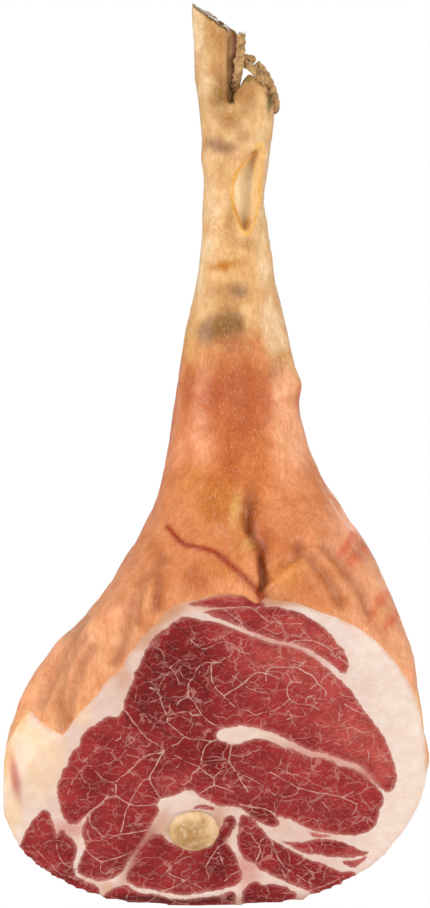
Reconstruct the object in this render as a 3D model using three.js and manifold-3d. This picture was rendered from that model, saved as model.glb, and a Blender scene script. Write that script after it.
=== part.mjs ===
// A whole cured ham on the bone: the leg with its rind, fat and lean, the femur whose ball
// shows in the flat cut face, and the rope tied round the heel.
// Millimetres, +Z up. The ham hangs shank up, with its cut face towards -Y.
import * as THREE from "three";
import { mergeVertices } from "three/addons/utils/BufferGeometryUtils.js";
import Module from "manifold-3d";

const wasm = await Module();
wasm.setup();

// ---- Driving dimensions. Heights are measured up from the ham's lowest point. ----

const CUT_TOP = { y: -70, z: 229 }; // where the flat cut meets the front of the leg
const CUT_TILT = THREE.MathUtils.degToRad(36); // of the cut face, back from the vertical
const SAW_POINT = new THREE.Vector3(-16.8, 27, 659); // the highest corner of the sawn shank
const SAW_NORMAL = new THREE.Vector3(0.683, -0.21, 1).normalize();

const RING_STEP = 10; // between the leg's outlines
const LEG_SIDES = 48;
const LIMB_SIDES = 28; // round the shank's end and the heel
const SHANK_STEP = 7;
const HEEL_STEP = 4;

const BALL_RADIUS = 18; // of the femur's ball where it comes out of the cut face
const BALL_AT = { x: -16, z: 54 };
const BALL_PROUD = 2; // how far the ball's crown stands out of the cut face
const BALL_DOME = 4; // from its crown down to its edge
const BALL_CROWN_RADIUS = 3; // of the small flat on its crown
const DOME_RINGS = [[-1.6, 8.5], [-0.4, 13.5], [0.9, 16.7]]; // [depth in from the cut, radius]
const NECK_RINGS = [[14, 17.5], [24, 13.5]]; // [depth in from the cut, radius]
const NECK_END = 24; // from the cut face in to the neck's end
const BEND_DEPTH = 38; // from the cut face in to where the bone turns up the leg
const SHAFT_RINGS = [[0.22, 12.5], [0.5, 11.5], [0.78, 13], [0.9, 17.5], [1, 15]]; // [share, radius]
const KNEE = new THREE.Vector3(4, 24, 262); // the femur's other end, inside the leg
const KNEE_CAP = { length: 5, radius: 7 };
const FEMUR_SIDES = 24;
const BONE_GAP = 0.35; // between the bone and the meat
const BED_REACH = 20; // how far the bone's bed is cut past the ball's crown

const ROPE_RADIUS = 3.3;
const ROPE_GAP = 0.35; // between the rope and the skin that it presses into
const ROPE_SIDES = 8;
const ROPE_STEPS = 50;
const KNOT_STEPS = 4;
const TAIL_STEPS = 9;
const HOOK_POINT = new THREE.Vector3(25.5, 33, 609); // inside the rope's loop, over the heel

const CREVICE_FLOOR = 26; // how far back the gap beside the shank reaches
const SLIT_AT = { x: 25.5, z: 522 }; // the cut in the rind over the heel tendon
const SLIT_TURN = THREE.MathUtils.degToRad(22);
const SLIT_FLOOR = 13.5; // how far back its floor lies
const CUTTER_LENGTH = 40; // of the blocks that cut the crevice and the slit

// The leg's outline by height, as [height, value].
const LEFT = [
  [-24, -155], [107, -155], [121, -152], [150, -141], [180, -125], [209, -99], [223, -84],
  [238, -74], [267, -57], [296, -44], [326, -35.5], [380, -28], [413, -22.5], [442, -16],
  [472, -10.5], [501, -9], [530, -9.5], [545, -11], [559, -9.5], [584, -12],
];
const RIGHT = [
  [-24, 142], [12, 144], [48, 148], [78, 154], [107, 156], [136, 151], [180, 144], [209, 135],
  [238, 123], [267, 108], [296, 89], [326, 72], [355, 63.5], [381, 61.5],
  [399, 58], [428, 51], [457, 44.5], [486, 39.5], [515, 36.5], [545, 39.5], [566, 42.5],
  [584, 43],
];
const FRONT = [
  [-24, 40], [100, -16], [160, -46], [200, -64], [229, -70], [250, -67], [270, -59],
  [310, -37], [350, -19], [400, -6], [460, 3], [520, 5], [560, 5.5], [584, 9],
];
const BACK = [
  [-24, 92], [0, 97], [12, 100.5], [48, 105], [100, 107], [150, 105], [200, 100], [250, 92],
  [310, 76], [370, 64], [430, 55], [490, 49], [550, 47], [584, 44],
];
// How far back the leg is widest, on each side.
const WIDEST_LEFT = [[-24, 30], [50, 34], [122, 45], [160, 40], [229, 26], [350, 24], [584, 27]];
const WIDEST_RIGHT = [[-24, 20], [100, 20], [157, 16], [202, 20], [350, 24], [584, 27]];
// How square the outline is between the four sides: 2 is an ellipse.
const FRONT_LEFT_POWER = [
  [-24, 1.6], [146, 1.6], [168, 1.6], [186, 1.85], [205, 2.3], [217, 2.6], [229, 2.6],
  [270, 2.25], [584, 2.3],
];
const FRONT_RIGHT_POWER = [
  [-24, 4], [157, 4], [177, 3.6], [202, 2.75], [230, 2.3], [420, 2.2], [500, 3], [584, 3],
];
const BACK_POWER = [[-24, 2.5], [100, 2.4], [250, 2.2], [584, 2.2]];

// ---- Building blocks ----

// A smooth curve through pairs: a cubic whose slope at each pair comes from its neighbours.
function profile(pairs) {
  const slope = (i) => {
    const before = pairs[Math.max(i - 1, 0)];
    const after = pairs[Math.min(i + 1, pairs.length - 1)];
    return (after[1] - before[1]) / (after[0] - before[0]);
  };
  return (height) => {
    let i = 0;
    while (i < pairs.length - 2 && height > pairs[i + 1][0]) i++;
    const [z0, v0] = pairs[i];
    const [z1, v1] = pairs[i + 1];
    const span = z1 - z0;
    const t = THREE.MathUtils.clamp((height - z0) / span, 0, 1);
    const s = 1 - t;
    return (
      s * s * (v0 * (1 + 2 * t) + span * slope(i) * t) +
      t * t * (v1 * (1 + 2 * s) - span * slope(i + 1) * s)
    );
  };
}

// A point of a closed outline with its own left, right, front and back sides.
function outlinePoint(sides, angle) {
  const c = Math.cos(angle);
  const s = Math.sin(angle);
  const widest = c < 0 ? sides.widestLeft : sides.widestRight;
  const frontPower = c < 0 ? sides.frontLeftPower : sides.frontRightPower;
  const power = s < 0 ? frontPower : sides.backPower;
  const middle = (sides.left + sides.right) / 2;
  const reach = s < 0 ? widest - sides.front : sides.back - widest;
  return [
    middle + Math.sign(c) * (sides.right - middle) * Math.abs(c) ** (2 / power),
    widest + Math.sign(s) * reach * Math.abs(s) ** (2 / power),
  ];
}

// A closed skin over rings of points that all have the same count, with a flat fan at each end.
function skin(rings) {
  const count = rings[0].length;
  const mean = (ring) =>
    ring.reduce((sum, p) => sum.add(p), new THREE.Vector3()).divideScalar(count);
  const points = [...rings.flat(), mean(rings[0]), mean(rings.at(-1))];
  const [first, last] = [points.length - 2, points.length - 1];
  const index = [];
  for (let i = 0; i < count; i++) {
    const j = (i + 1) % count;
    for (let r = 0; r < rings.length - 1; r++) {
      const low = r * count;
      const high = low + count;
      index.push(low + i, low + j, high + j, low + i, high + j, high + i);
    }
    const top = (rings.length - 1) * count;
    index.push(first, j, i, last, top + i, top + j);
  }
  const geometry = new THREE.BufferGeometry().setFromPoints(points);
  return geometry.setIndex(index);
}

function toSolid(geometry) {
  const bare = geometry.clone();
  bare.deleteAttribute("normal");
  bare.deleteAttribute("uv");
  const merged = mergeVertices(bare, 1e-3);
  return new wasm.Manifold(
    new wasm.Mesh({
      numProp: 3,
      vertProperties: new Float32Array(merged.attributes.position.array),
      triVerts: new Uint32Array(merged.index.array),
    }),
  );
}

function toGeometry(solid) {
  const mesh = solid.getMesh();
  const geometry = new THREE.BufferGeometry();
  geometry.setAttribute("position", new THREE.BufferAttribute(mesh.vertProperties, 3));
  geometry.setIndex(new THREE.BufferAttribute(mesh.triVerts, 1));
  geometry.computeVertexNormals();
  return geometry;
}

// A block that fills the space on the normal's side of a plane.
function blockBeyond(point, normal, size) {
  const block = new THREE.BoxGeometry(size, size, size);
  block.translate(0, 0, size / 2);
  const turn = new THREE.Quaternion().setFromUnitVectors(new THREE.Vector3(0, 0, 1), normal);
  return toSolid(block.applyQuaternion(turn).translate(point.x, point.y, point.z));
}

// ---- The leg ----

// A tapering limb from stations of [height, left, right, front, back].
function limb(stations, step) {
  const column = (k) => profile(stations.map((s) => [s[0], s[k]]));
  const [left, right, front, back] = [1, 2, 3, 4].map(column);
  const [low, high] = [stations[0][0], stations.at(-1)[0]];
  const ringCount = Math.ceil((high - low) / step);
  const rings = [];
  for (let r = 0; r <= ringCount; r++) {
    const z = low + ((high - low) * r) / ringCount;
    const middle = (front(z) + back(z)) / 2;
    const sides = {
      left: left(z), right: right(z), front: front(z), back: back(z),
      widestLeft: middle, widestRight: middle,
      frontLeftPower: 2.3, frontRightPower: 2.3, backPower: 2.2,
    };
    rings.push(ringAt(sides, z, LIMB_SIDES));
  }
  return toSolid(skin(rings));
}

function ringAt(sides, z, count) {
  return Array.from({ length: count }, (_, i) => {
    const [x, y] = outlinePoint(sides, (2 * Math.PI * i) / count);
    return new THREE.Vector3(x, y, z);
  });
}

function legBody() {
  const curves = {
    left: profile(LEFT), right: profile(RIGHT), front: profile(FRONT), back: profile(BACK),
    widestLeft: profile(WIDEST_LEFT), widestRight: profile(WIDEST_RIGHT),
    frontLeftPower: profile(FRONT_LEFT_POWER), frontRightPower: profile(FRONT_RIGHT_POWER),
    backPower: profile(BACK_POWER),
  };
  const rings = [];
  for (let z = LEFT[0][0]; z <= LEFT.at(-1)[0]; z += RING_STEP) {
    const sides = {};
    for (const name of Object.keys(curves)) sides[name] = curves[name](z);
    rings.push(ringAt(sides, z, LEG_SIDES));
  }
  return toSolid(skin(rings));
}

// The end of the shank above the hock, before it is sawn off.
function shankEnd() {
  return limb(
    [
      [545, -8, 16, 10, 43], [570, -10.5, 15.5, 9, 42.5], [590, -13, 15.5, 11, 42],
      [604, -15, 15, 12.5, 41.5], [618, -15.3, 15.2, 13, 41], [628, -14.8, 16.2, 13, 41],
      [637, -16, 17.5, 13, 41], [650, -17.5, 18.5, 13.5, 40.5], [676, -17.5, 19, 14, 40],
    ],
    SHANK_STEP,
  );
}

function heel() {
  return limb(
    [
      [545, 13, 39, 8, 44], [566, 11.5, 42.3, 6.5, 43], [577, 12.5, 43, 8, 42.5],
      [586, 14.8, 43, 9.5, 41.5], [593, 17.5, 41.5, 11, 39.5], [598, 19.3, 38.5, 12.5, 37],
      [603, 20.8, 33.5, 15, 32], [607, 22.5, 27, 19.5, 25],
    ],
    HEEL_STEP,
  );
}

// The dark gap down the shank's side, beside the rope. It ends inside, short of the back.
function crevice() {
  const outline = new THREE.Shape();
  outline.moveTo(8.8, 584);
  outline.quadraticCurveTo(8, 603, 9.2, 616);
  outline.quadraticCurveTo(9.8, 632, 12.5, 652);
  outline.lineTo(24, 652);
  outline.quadraticCurveTo(15, 620, 14.5, 584);
  outline.lineTo(8.8, 584);
  const geometry = new THREE.ExtrudeGeometry(outline, {
    depth: CUTTER_LENGTH, bevelEnabled: false, curveSegments: 6,
  });
  geometry.translate(0, 0, -CREVICE_FLOOR).rotateX(Math.PI / 2);
  return toSolid(geometry);
}

// An almond-shaped hole, pointed at both ends, that turns a little towards the right.
function slit() {
  const outline = new THREE.Shape();
  outline.moveTo(10, 33.5);
  outline.quadraticCurveTo(8.5, 8, 6, -12);
  outline.quadraticCurveTo(3, -24, -1.5, -33);
  outline.quadraticCurveTo(-7, -22, -11.5, 0);
  outline.quadraticCurveTo(-7, 18, 10, 33.5);
  const geometry = new THREE.ExtrudeGeometry(outline, {
    depth: CUTTER_LENGTH, bevelEnabled: false, curveSegments: 5,
  });
  geometry.translate(0, 0, -SLIT_FLOOR).rotateX(Math.PI / 2);
  geometry.rotateZ(SLIT_TURN).translate(SLIT_AT.x, 0, SLIT_AT.z);
  return toSolid(geometry);
}

// ---- The bone ----

const cutNormal = new THREE.Vector3(0, -Math.cos(CUT_TILT), -Math.sin(CUT_TILT));
const cutPoint = new THREE.Vector3(0, CUT_TOP.y, CUT_TOP.z);
const ballCentre = new THREE.Vector3(
  BALL_AT.x,
  CUT_TOP.y + (CUT_TOP.z - BALL_AT.z) * Math.tan(CUT_TILT),
  BALL_AT.z,
);

// A ring of points round an axis, seen along its direction.
function ringOn(centre, direction, radius) {
  const across = new THREE.Vector3(1, 0, 0);
  across.addScaledVector(direction, -across.dot(direction)).normalize();
  const along = direction.clone().cross(across);
  return Array.from({ length: FEMUR_SIDES }, (_, i) => {
    const a = (2 * Math.PI * i) / FEMUR_SIDES;
    return centre
      .clone()
      .addScaledVector(across, radius * Math.cos(a))
      .addScaledVector(along, radius * Math.sin(a));
  });
}

// The femur grown by a margin: its domed ball, then a neck, a shaft and the knee end.
// Grown, it is the shape of its own bed in the meat, and reaches out past the cut face.
function femurSolid(margin) {
  const inward = cutNormal.clone().negate();
  const inBy = (depth) => ballCentre.clone().addScaledVector(inward, depth);
  const crown =
    margin > 0
      ? [[-BALL_PROUD - BED_REACH, BALL_RADIUS]]
      : [[-BALL_PROUD, BALL_CROWN_RADIUS], ...DOME_RINGS];
  const rings = [];
  for (const [depth, radius] of [...crown, [BALL_DOME - BALL_PROUD, BALL_RADIUS], ...NECK_RINGS])
    rings.push(ringOn(inBy(depth), inward, radius + margin));
  const bend = inBy(BEND_DEPTH);
  const halfway = bend.clone().lerp(KNEE, 0.5).add(new THREE.Vector3(0, 4, 0));
  const axis = new THREE.CatmullRomCurve3([inBy(NECK_END), bend, halfway, KNEE]);
  for (const [share, radius] of SHAFT_RINGS)
    rings.push(ringOn(axis.getPoint(share), axis.getTangent(share), radius + margin));
  const direction = axis.getTangent(1);
  const end = axis.getPoint(1).addScaledVector(direction, KNEE_CAP.length + margin);
  rings.push(ringOn(end, direction, KNEE_CAP.radius + margin));
  return toSolid(skin(rings));
}

function leg() {
  return legBody()
    .subtract(blockBeyond(cutPoint, cutNormal, 700))
    .add(shankEnd().subtract(blockBeyond(SAW_POINT, SAW_NORMAL, 90)))
    .subtract(crevice())
    .add(heel())
    .subtract(slit())
    .subtract(femurSolid(BONE_GAP))
    .subtract(toSolid(tube(ROPE_ROUTE, ROPE_RADIUS + ROPE_GAP, ROPE_STEPS)))
    .subtract(knotSolid(ROPE_GAP));
}

// ---- The rope ----

// From its cut end beside the shank, down through the hock, behind the heel and up to the knot.
const ROPE_ROUTE = [
  [19.3, 14.2, 635.5], [18.9, 13.6, 626], [18.2, 13.8, 616], [16.8, 16.4, 607.5],
  [15.4, 21.8, 600.8], [14.8, 29.2, 596], [16.4, 36.8, 592.4], [20.6, 43.2, 589],
  [26.6, 46.8, 585.6], [33.2, 47, 582.4], [39.2, 44.2, 580.6], [43.2, 38.8, 581.2],
  [44, 33, 584.8], [43, 28.6, 590.6], [41, 25.8, 597.2], [38, 24, 603.8], [34.2, 23, 609.8],
  [29.8, 22.5, 614.6],
].map((p) => new THREE.Vector3(...p));

// The knot: the rope's last turn, behind its own first stretch, and the short end in front.
const KNOT_ROUTE = [
  [28.9, 22.4, 615.5], [26, 22.1, 617.6], [22, 21.9, 618.3], [18, 21.9, 617],
].map((p) => new THREE.Vector3(...p));
const TAIL_ROUTE = [
  [18, 21.9, 617], [21.5, 20.4, 615], [24.8, 17.2, 613], [27.6, 14, 610.6], [31, 12.4, 607.2],
  [34.6, 12.6, 603.4], [37.4, 14.4, 599.8],
].map((p) => new THREE.Vector3(...p));

function tube(route, radius, steps) {
  const section = new THREE.Shape();
  for (let i = 0; i < ROPE_SIDES; i++) {
    const a = (2 * Math.PI * i) / ROPE_SIDES;
    const [x, y] = [radius * Math.cos(a), radius * Math.sin(a)];
    if (i) section.lineTo(x, y);
    else section.moveTo(x, y);
  }
  return new THREE.ExtrudeGeometry(section, {
    steps, extrudePath: new THREE.CatmullRomCurve3(route), bevelEnabled: false,
  });
}

function knotSolid(margin) {
  const radius = ROPE_RADIUS + margin;
  const turn = new THREE.SphereGeometry(radius * 1.05, 10, 8).translate(...KNOT_ROUTE.at(-1));
  return toSolid(turn)
    .add(toSolid(tube(KNOT_ROUTE, radius, KNOT_STEPS)))
    .add(toSolid(tube(TAIL_ROUTE, radius, TAIL_STEPS)));
}

// ---- The ham ----

function piece(name, geometry, colour, roughness) {
  const material = new THREE.MeshStandardMaterial({ color: colour, roughness, metalness: 0 });
  const mesh = new THREE.Mesh(geometry, material);
  mesh.name = name;
  return mesh;
}

const ham = new THREE.Group();
ham.add(piece("cured_leg", toGeometry(leg()), 0xc87f4a, 0.5));
ham.add(piece("femur", toGeometry(femurSolid(0)), 0xe3c98f, 0.55));
ham.add(piece("hanging_rope", tube(ROPE_ROUTE, ROPE_RADIUS, ROPE_STEPS), 0xa77b4b, 0.9));
ham.add(piece("rope_knot", toGeometry(knotSolid(0)), 0xa77b4b, 0.9));
ham.position.copy(HOOK_POINT).negate();

// The part's origin is the point inside the rope's loop where a hook holds it.
const part = new THREE.Group();
part.add(ham);

export default part;
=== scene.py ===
"""A whole cured ham on the bone, hung by its heel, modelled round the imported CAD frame.

Blender works in metres. The ham's outlines and marks are in millimetres of the ham's own measure:
x towards the heel's side, y to the back, z up from the ham's lowest point.
"""

import itertools
import math

import bmesh
import bpy
import numpy as np
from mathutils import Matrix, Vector


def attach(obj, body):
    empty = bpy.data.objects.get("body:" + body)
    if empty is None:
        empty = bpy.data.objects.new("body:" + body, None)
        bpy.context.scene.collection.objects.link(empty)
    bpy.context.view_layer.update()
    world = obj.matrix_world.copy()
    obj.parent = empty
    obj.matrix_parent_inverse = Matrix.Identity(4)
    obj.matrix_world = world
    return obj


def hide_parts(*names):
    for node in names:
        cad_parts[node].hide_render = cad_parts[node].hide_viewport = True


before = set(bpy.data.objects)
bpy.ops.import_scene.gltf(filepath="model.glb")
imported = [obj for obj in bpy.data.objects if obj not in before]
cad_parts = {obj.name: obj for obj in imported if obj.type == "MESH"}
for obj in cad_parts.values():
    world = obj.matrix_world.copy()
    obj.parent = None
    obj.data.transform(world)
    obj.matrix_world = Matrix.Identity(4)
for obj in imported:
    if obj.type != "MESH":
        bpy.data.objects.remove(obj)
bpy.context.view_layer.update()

# ---- Driving dimensions ----

HOOK = np.array((25.5, 33.0, 609.0))  # the frame's origin, inside the rope's loop
CUT_TOP = np.array((0.0, -70.0, 229.0))  # where the flat cut meets the front of the leg
CUT_TILT = math.radians(36)
DOWN_THE_CUT = np.array((0.0, math.sin(CUT_TILT), -math.cos(CUT_TILT)))
CUT_NORMAL = np.array((0.0, -math.cos(CUT_TILT), -math.sin(CUT_TILT)))
BALL_X, BALL_Z, BALL_RADIUS = -16.0, 54.0, 18.0
BALL_SLIP = np.array((0.6, 1.3, -1.8))  # from the ball's middle to the middle of what shows
BALL_CENTRE = np.array((BALL_X, CUT_TOP[1] + (CUT_TOP[2] - BALL_Z) * math.tan(CUT_TILT), BALL_Z))
RIM_DROP = 4.9  # what the smoothing takes off the bottom of the rim
HAM_VOXEL = 2.0
BONE_VOXEL = 1.1

VIEW_HEIGHT = 661.5
VIEW_MIDDLE_Z = 329.3
LENS = 600.0
SENSOR = 36.0
VIEW_DEPTH_Y = -5.0  # the depth at which the view is exactly VIEW_HEIGHT tall


def to_frame(points):
    return (np.asarray(points, float) - HOOK) / 1000


def to_mm(points):
    return np.asarray(points, float) * 1000 + HOOK


# ---- The camera ----

camera_data = bpy.data.cameras.new("camera")
camera_data.lens = LENS
camera_data.sensor_width = SENSOR
camera_data.clip_end = 100
camera = bpy.data.objects.new("camera", camera_data)
bpy.context.scene.collection.objects.link(camera)
camera_distance = VIEW_HEIGHT * LENS / SENSOR
camera.location = to_frame((0, VIEW_DEPTH_Y - camera_distance, VIEW_MIDDLE_Z))
camera.rotation_euler = (math.pi / 2, 0, 0)
bpy.context.scene.camera = camera


# ---- Meshes ----


def new_object(name, points, faces, material, smooth=True):
    """A mesh object from points in millimetres."""
    mesh = bpy.data.meshes.new(name)
    mesh.from_pydata([tuple(p) for p in to_frame(points)], [], faces)
    mesh.materials.append(material)
    mesh.polygons.foreach_set("use_smooth", [smooth] * len(mesh.polygons))
    mesh.update()
    obj = bpy.data.objects.new(name, mesh)
    bpy.context.scene.collection.objects.link(obj)
    return obj


def points_of(mesh):
    flat = np.empty(len(mesh.vertices) * 3)
    mesh.vertices.foreach_get("co", flat)
    return to_mm(flat.reshape(-1, 3))


def move_points(mesh, points):
    mesh.vertices.foreach_set("co", to_frame(points).ravel())
    mesh.update()


def edges_of(mesh):
    flat = np.empty(len(mesh.edges) * 2, np.int32)
    mesh.edges.foreach_get("vertices", flat)
    return flat.reshape(-1, 2)


def normals_of(mesh):
    flat = np.empty(len(mesh.vertices) * 3)
    mesh.vertex_normals.foreach_get("vector", flat)
    return flat.reshape(-1, 3)


def remeshed(name, sources, voxel):
    """One closed skin round the source objects' meshes, as a new object."""
    points, faces = [], []
    for mesh, own_points in sources:
        start = len(points)
        points.extend(own_points)
        faces.extend([[start + i for i in face.vertices] for face in mesh.polygons])
    material = bpy.data.materials.new("unused")
    obj = new_object(name, np.array(points), faces, material)
    modifier = obj.modifiers.new("remesh", "REMESH")
    modifier.mode = "VOXEL"
    modifier.voxel_size = voxel / 1000
    modifier.use_smooth_shade = True
    graph = bpy.context.evaluated_depsgraph_get()
    solid = bpy.data.meshes.new_from_object(obj.evaluated_get(graph))
    obj.modifiers.clear()
    old = obj.data
    obj.data = solid
    bpy.data.meshes.remove(old)
    obj.data.materials.clear()
    bpy.data.materials.remove(material)
    return obj


def spread(values, edges, share, rounds):
    """Values of the points, each moved towards its neighbours' mean that many times."""
    a, b = edges[:, 0], edges[:, 1]
    count = len(values)
    degree = np.maximum(np.bincount(edges.ravel(), minlength=count), 1)[:, None]
    share = np.broadcast_to(np.asarray(share, float), (count,))[:, None]
    for _ in range(rounds):
        mean = np.empty_like(values)
        for k in range(values.shape[1]):
            near = np.bincount(a, values[b, k], count) + np.bincount(b, values[a, k], count)
            mean[:, k] = near
        values = values + share * (mean / degree - values)
    return values


def lumps(points, size, seed=0):
    """Smooth noise from -1 to 1, with lumps of about that size in millimetres."""
    p = np.asarray(points) / size
    cell = np.floor(p).astype(np.int64)
    t = p - cell
    t = t * t * (3 - 2 * t)
    total = np.zeros(len(p))
    for corner in itertools.product((0, 1), repeat=3):
        c = cell + corner
        mixed = c[:, 0] * 73856093 ^ c[:, 1] * 19349663 ^ c[:, 2] * 83492791 ^ seed * 2654435761
        mixed = (mixed ^ (mixed >> 15)) * 2246822519 & 0xFFFFFFFF
        mixed = (mixed ^ (mixed >> 13)) * 3266489917 & 0xFFFFFFFF
        value = (mixed >> 8) / float(1 << 23) - 1
        total += value * np.prod(np.where(corner, t, 1 - t), axis=1)
    return total


def ease(value, low, high):
    """From 0 at low to 1 at high, smoothly."""
    t = np.clip((np.asarray(value, float) - low) / (high - low), 0, 1)
    return t * t * (3 - 2 * t)


def curve(points, parts=4, closed=False):
    """More points on a smooth curve through the given ones."""
    p = np.asarray(points, float)
    if closed:
        p = np.vstack((p[-1], p, p[:2]))
    else:
        p = np.vstack((2 * p[0] - p[1], p, 2 * p[-1] - p[-2]))
    result = []
    for i in range(1, len(p) - 2):
        for t in np.linspace(0, 1, parts, endpoint=False):
            a, b, c, d = p[i - 1 : i + 3]
            result.append(
                0.5
                * (
                    2 * b
                    + (c - a) * t
                    + (2 * a - 5 * b + 4 * c - d) * t * t
                    + (3 * b - a - 3 * c + d) * t**3
                )
            )
    if not closed:
        result.append(p[-2])
    return np.array(result)


def nearest(points, line):
    """Each point's distance to an open line of points, and the place on the line."""
    best = np.full(len(points), np.inf)
    place = np.zeros_like(points)
    for a, b in zip(line[:-1], line[1:]):
        along = b - a
        t = np.clip((points - a) @ along / max(along @ along, 1e-9), 0, 1)
        foot = a + t[:, None] * along
        d = np.linalg.norm(points - foot, axis=1)
        closer = d < best
        best[closer] = d[closer]
        place[closer] = foot[closer]
    return best, place


def inside_by(points, outline):
    """How far each point is inside a closed outline. It is negative outside."""
    ring = np.vstack((outline, outline[:1]))
    distance, _ = nearest(points, ring)
    x, z = points[:, 0], points[:, 1]
    within = np.zeros(len(points), bool)
    for (x0, z0), (x1, z1) in zip(ring[:-1], ring[1:]):
        if z0 == z1:
            continue
        crosses = ((z0 > z) != (z1 > z)) & (x < (x1 - x0) * (z - z0) / (z1 - z0) + x0)
        within ^= crosses
    return np.where(within, distance, -distance)


SHEEN = 0.026
LIT_SHARE = 0.93


def add_attribute(mesh, name, kind, values):
    attribute = mesh.attributes.new(name, kind, "POINT")
    field = {"FLOAT": "value", "FLOAT_VECTOR": "vector", "FLOAT_COLOR": "color"}[kind]
    values = np.asarray(values, float)
    if kind == "FLOAT_COLOR":
        values = np.hstack((without_sheen(values), np.ones((len(values), 1))))
    attribute.data.foreach_set(field, values.ravel())


def linear(code):
    """A colour written as six hexadecimal digits, as three linear values."""
    c = np.array([int(code[i : i + 2], 16) for i in (0, 2, 4)]) / 255
    return np.where(c <= 0.04045, c / 12.92, ((c + 0.055) / 1.055) ** 2.4)


def without_sheen(colours):
    """Tints as they look in the studio's light, less the sheen that the light adds."""
    return np.clip((colours - SHEEN) / LIT_SHARE, 0.002, 0.97)


def patched(base, spots, marks):
    """Base colours with soft marks over them."""
    colours = base.copy()
    for x, z, half_x, half_z, turn, code, share in marks:
        a = math.radians(turn)
        dx, dz = spots[:, 0] - x, spots[:, 1] - z
        u = (dx * math.cos(a) + dz * math.sin(a)) / half_x
        v = (dz * math.cos(a) - dx * math.sin(a)) / half_z
        weight = share * np.exp(-0.8 * (u * u + v * v) ** 1.5)
        colours += weight[:, None] * (linear(code) - colours)
    return colours


# ---- Materials ----


class Nodes:
    """A material, with short calls that add a shader node and return its output."""

    def __init__(self, name):
        self.material = bpy.data.materials.new(name)
        self.material.use_nodes = True
        self.tree = self.material.node_tree
        self.shader = self.tree.nodes["Principled BSDF"]

    def add(self, kind, inputs, out=0, **settings):
        node = self.tree.nodes.new(kind)
        for key, value in settings.items():
            setattr(node, key, value)
        for key, value in inputs.items():
            if isinstance(value, bpy.types.NodeSocket):
                self.tree.links.new(value, node.inputs[key])
            else:
                node.inputs[key].default_value = value
        return node.outputs[out]

    def math(self, operation, *values):
        inputs = dict(enumerate(values))
        return self.add("ShaderNodeMath", inputs, operation=operation)

    def attribute(self, name, out="Fac"):
        return self.add("ShaderNodeAttribute", {}, out, attribute_name=name)

    def step(self, value, low, high, to_low=0.0, to_high=1.0):
        inputs = {"Value": value, "From Min": low, "From Max": high, "To Min": to_low, "To Max": to_high}
        return self.add("ShaderNodeMapRange", inputs, interpolation_type="SMOOTHSTEP")

    def mix(self, share, a, b, blend="MIX"):
        inputs = {0: share, 6: as_colour(a), 7: as_colour(b)}
        return self.add("ShaderNodeMix", inputs, 2, data_type="RGBA", blend_type=blend)

    def tone(self, colour, share, low, high):
        """A colour multiplied by a factor that runs from low to high."""
        factor = self.mix(share, (*low, 1.0), (*high, 1.0))
        return self.mix(1.0, colour, factor, "MULTIPLY")

    def noise(self, place, size, detail=3.0, roughness=0.55, stretch=(1, 1, 1)):
        """Noise from about 0.25 to 0.75, with lumps of that size in millimetres."""
        scale = tuple(1 / (size * s) for s in stretch)
        place = self.add("ShaderNodeVectorMath", {0: place, 1: scale}, operation="MULTIPLY")
        inputs = {"Vector": place, "Scale": 1.0, "Detail": detail, "Roughness": roughness}
        return self.add("ShaderNodeTexNoise", inputs)

    def shift(self, place, size, reach, seed=0.0):
        """Places moved about by noise."""
        moved = self.add("ShaderNodeVectorMath", {0: place, 1: (seed,) * 3}, operation="ADD")
        inputs = {"Vector": moved, "Scale": 1 / size, "Detail": 2.0}
        noise = self.add("ShaderNodeTexNoise", inputs, "Color")
        centred = self.add("ShaderNodeVectorMath", {0: noise, 1: (0.5,) * 3}, operation="SUBTRACT")
        reaches = (reach * 2,) * 3
        scaled = self.add("ShaderNodeVectorMath", {0: centred, 1: reaches}, operation="MULTIPLY")
        return self.add("ShaderNodeVectorMath", {0: place, 1: scaled}, operation="ADD")

    def cells(self, place, size, feature="DISTANCE_TO_EDGE", stretch=(1, 1, 1)):
        scale = tuple(1 / (size * s) for s in stretch)
        place = self.add("ShaderNodeVectorMath", {0: place, 1: scale}, operation="MULTIPLY")
        inputs = {"Vector": place, "Scale": 1.0}
        return self.add("ShaderNodeTexVoronoi", inputs, "Distance", feature=feature)

    def bump(self, height, depth, normal=None):
        """Height from 0 to 1 as a bump that many millimetres deep."""
        inputs = {"Height": height, "Distance": depth / 1000, "Strength": 1.0}
        if normal is not None:
            inputs["Normal"] = normal
        return self.add("ShaderNodeBump", inputs)

    def finish(self, colour, roughness, normal=None, **numbers):
        self.tree.links.new(colour, self.shader.inputs["Base Color"])
        if isinstance(roughness, bpy.types.NodeSocket):
            self.tree.links.new(roughness, self.shader.inputs["Roughness"])
        else:
            self.shader.inputs["Roughness"].default_value = roughness
        if normal is not None:
            self.tree.links.new(normal, self.shader.inputs["Normal"])
        for key, value in numbers.items():
            self.shader.inputs[key.replace("_", " ")].default_value = value
        return self.material


def as_colour(value):
    if isinstance(value, str):
        return (*linear(value), 1.0)
    return value


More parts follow.
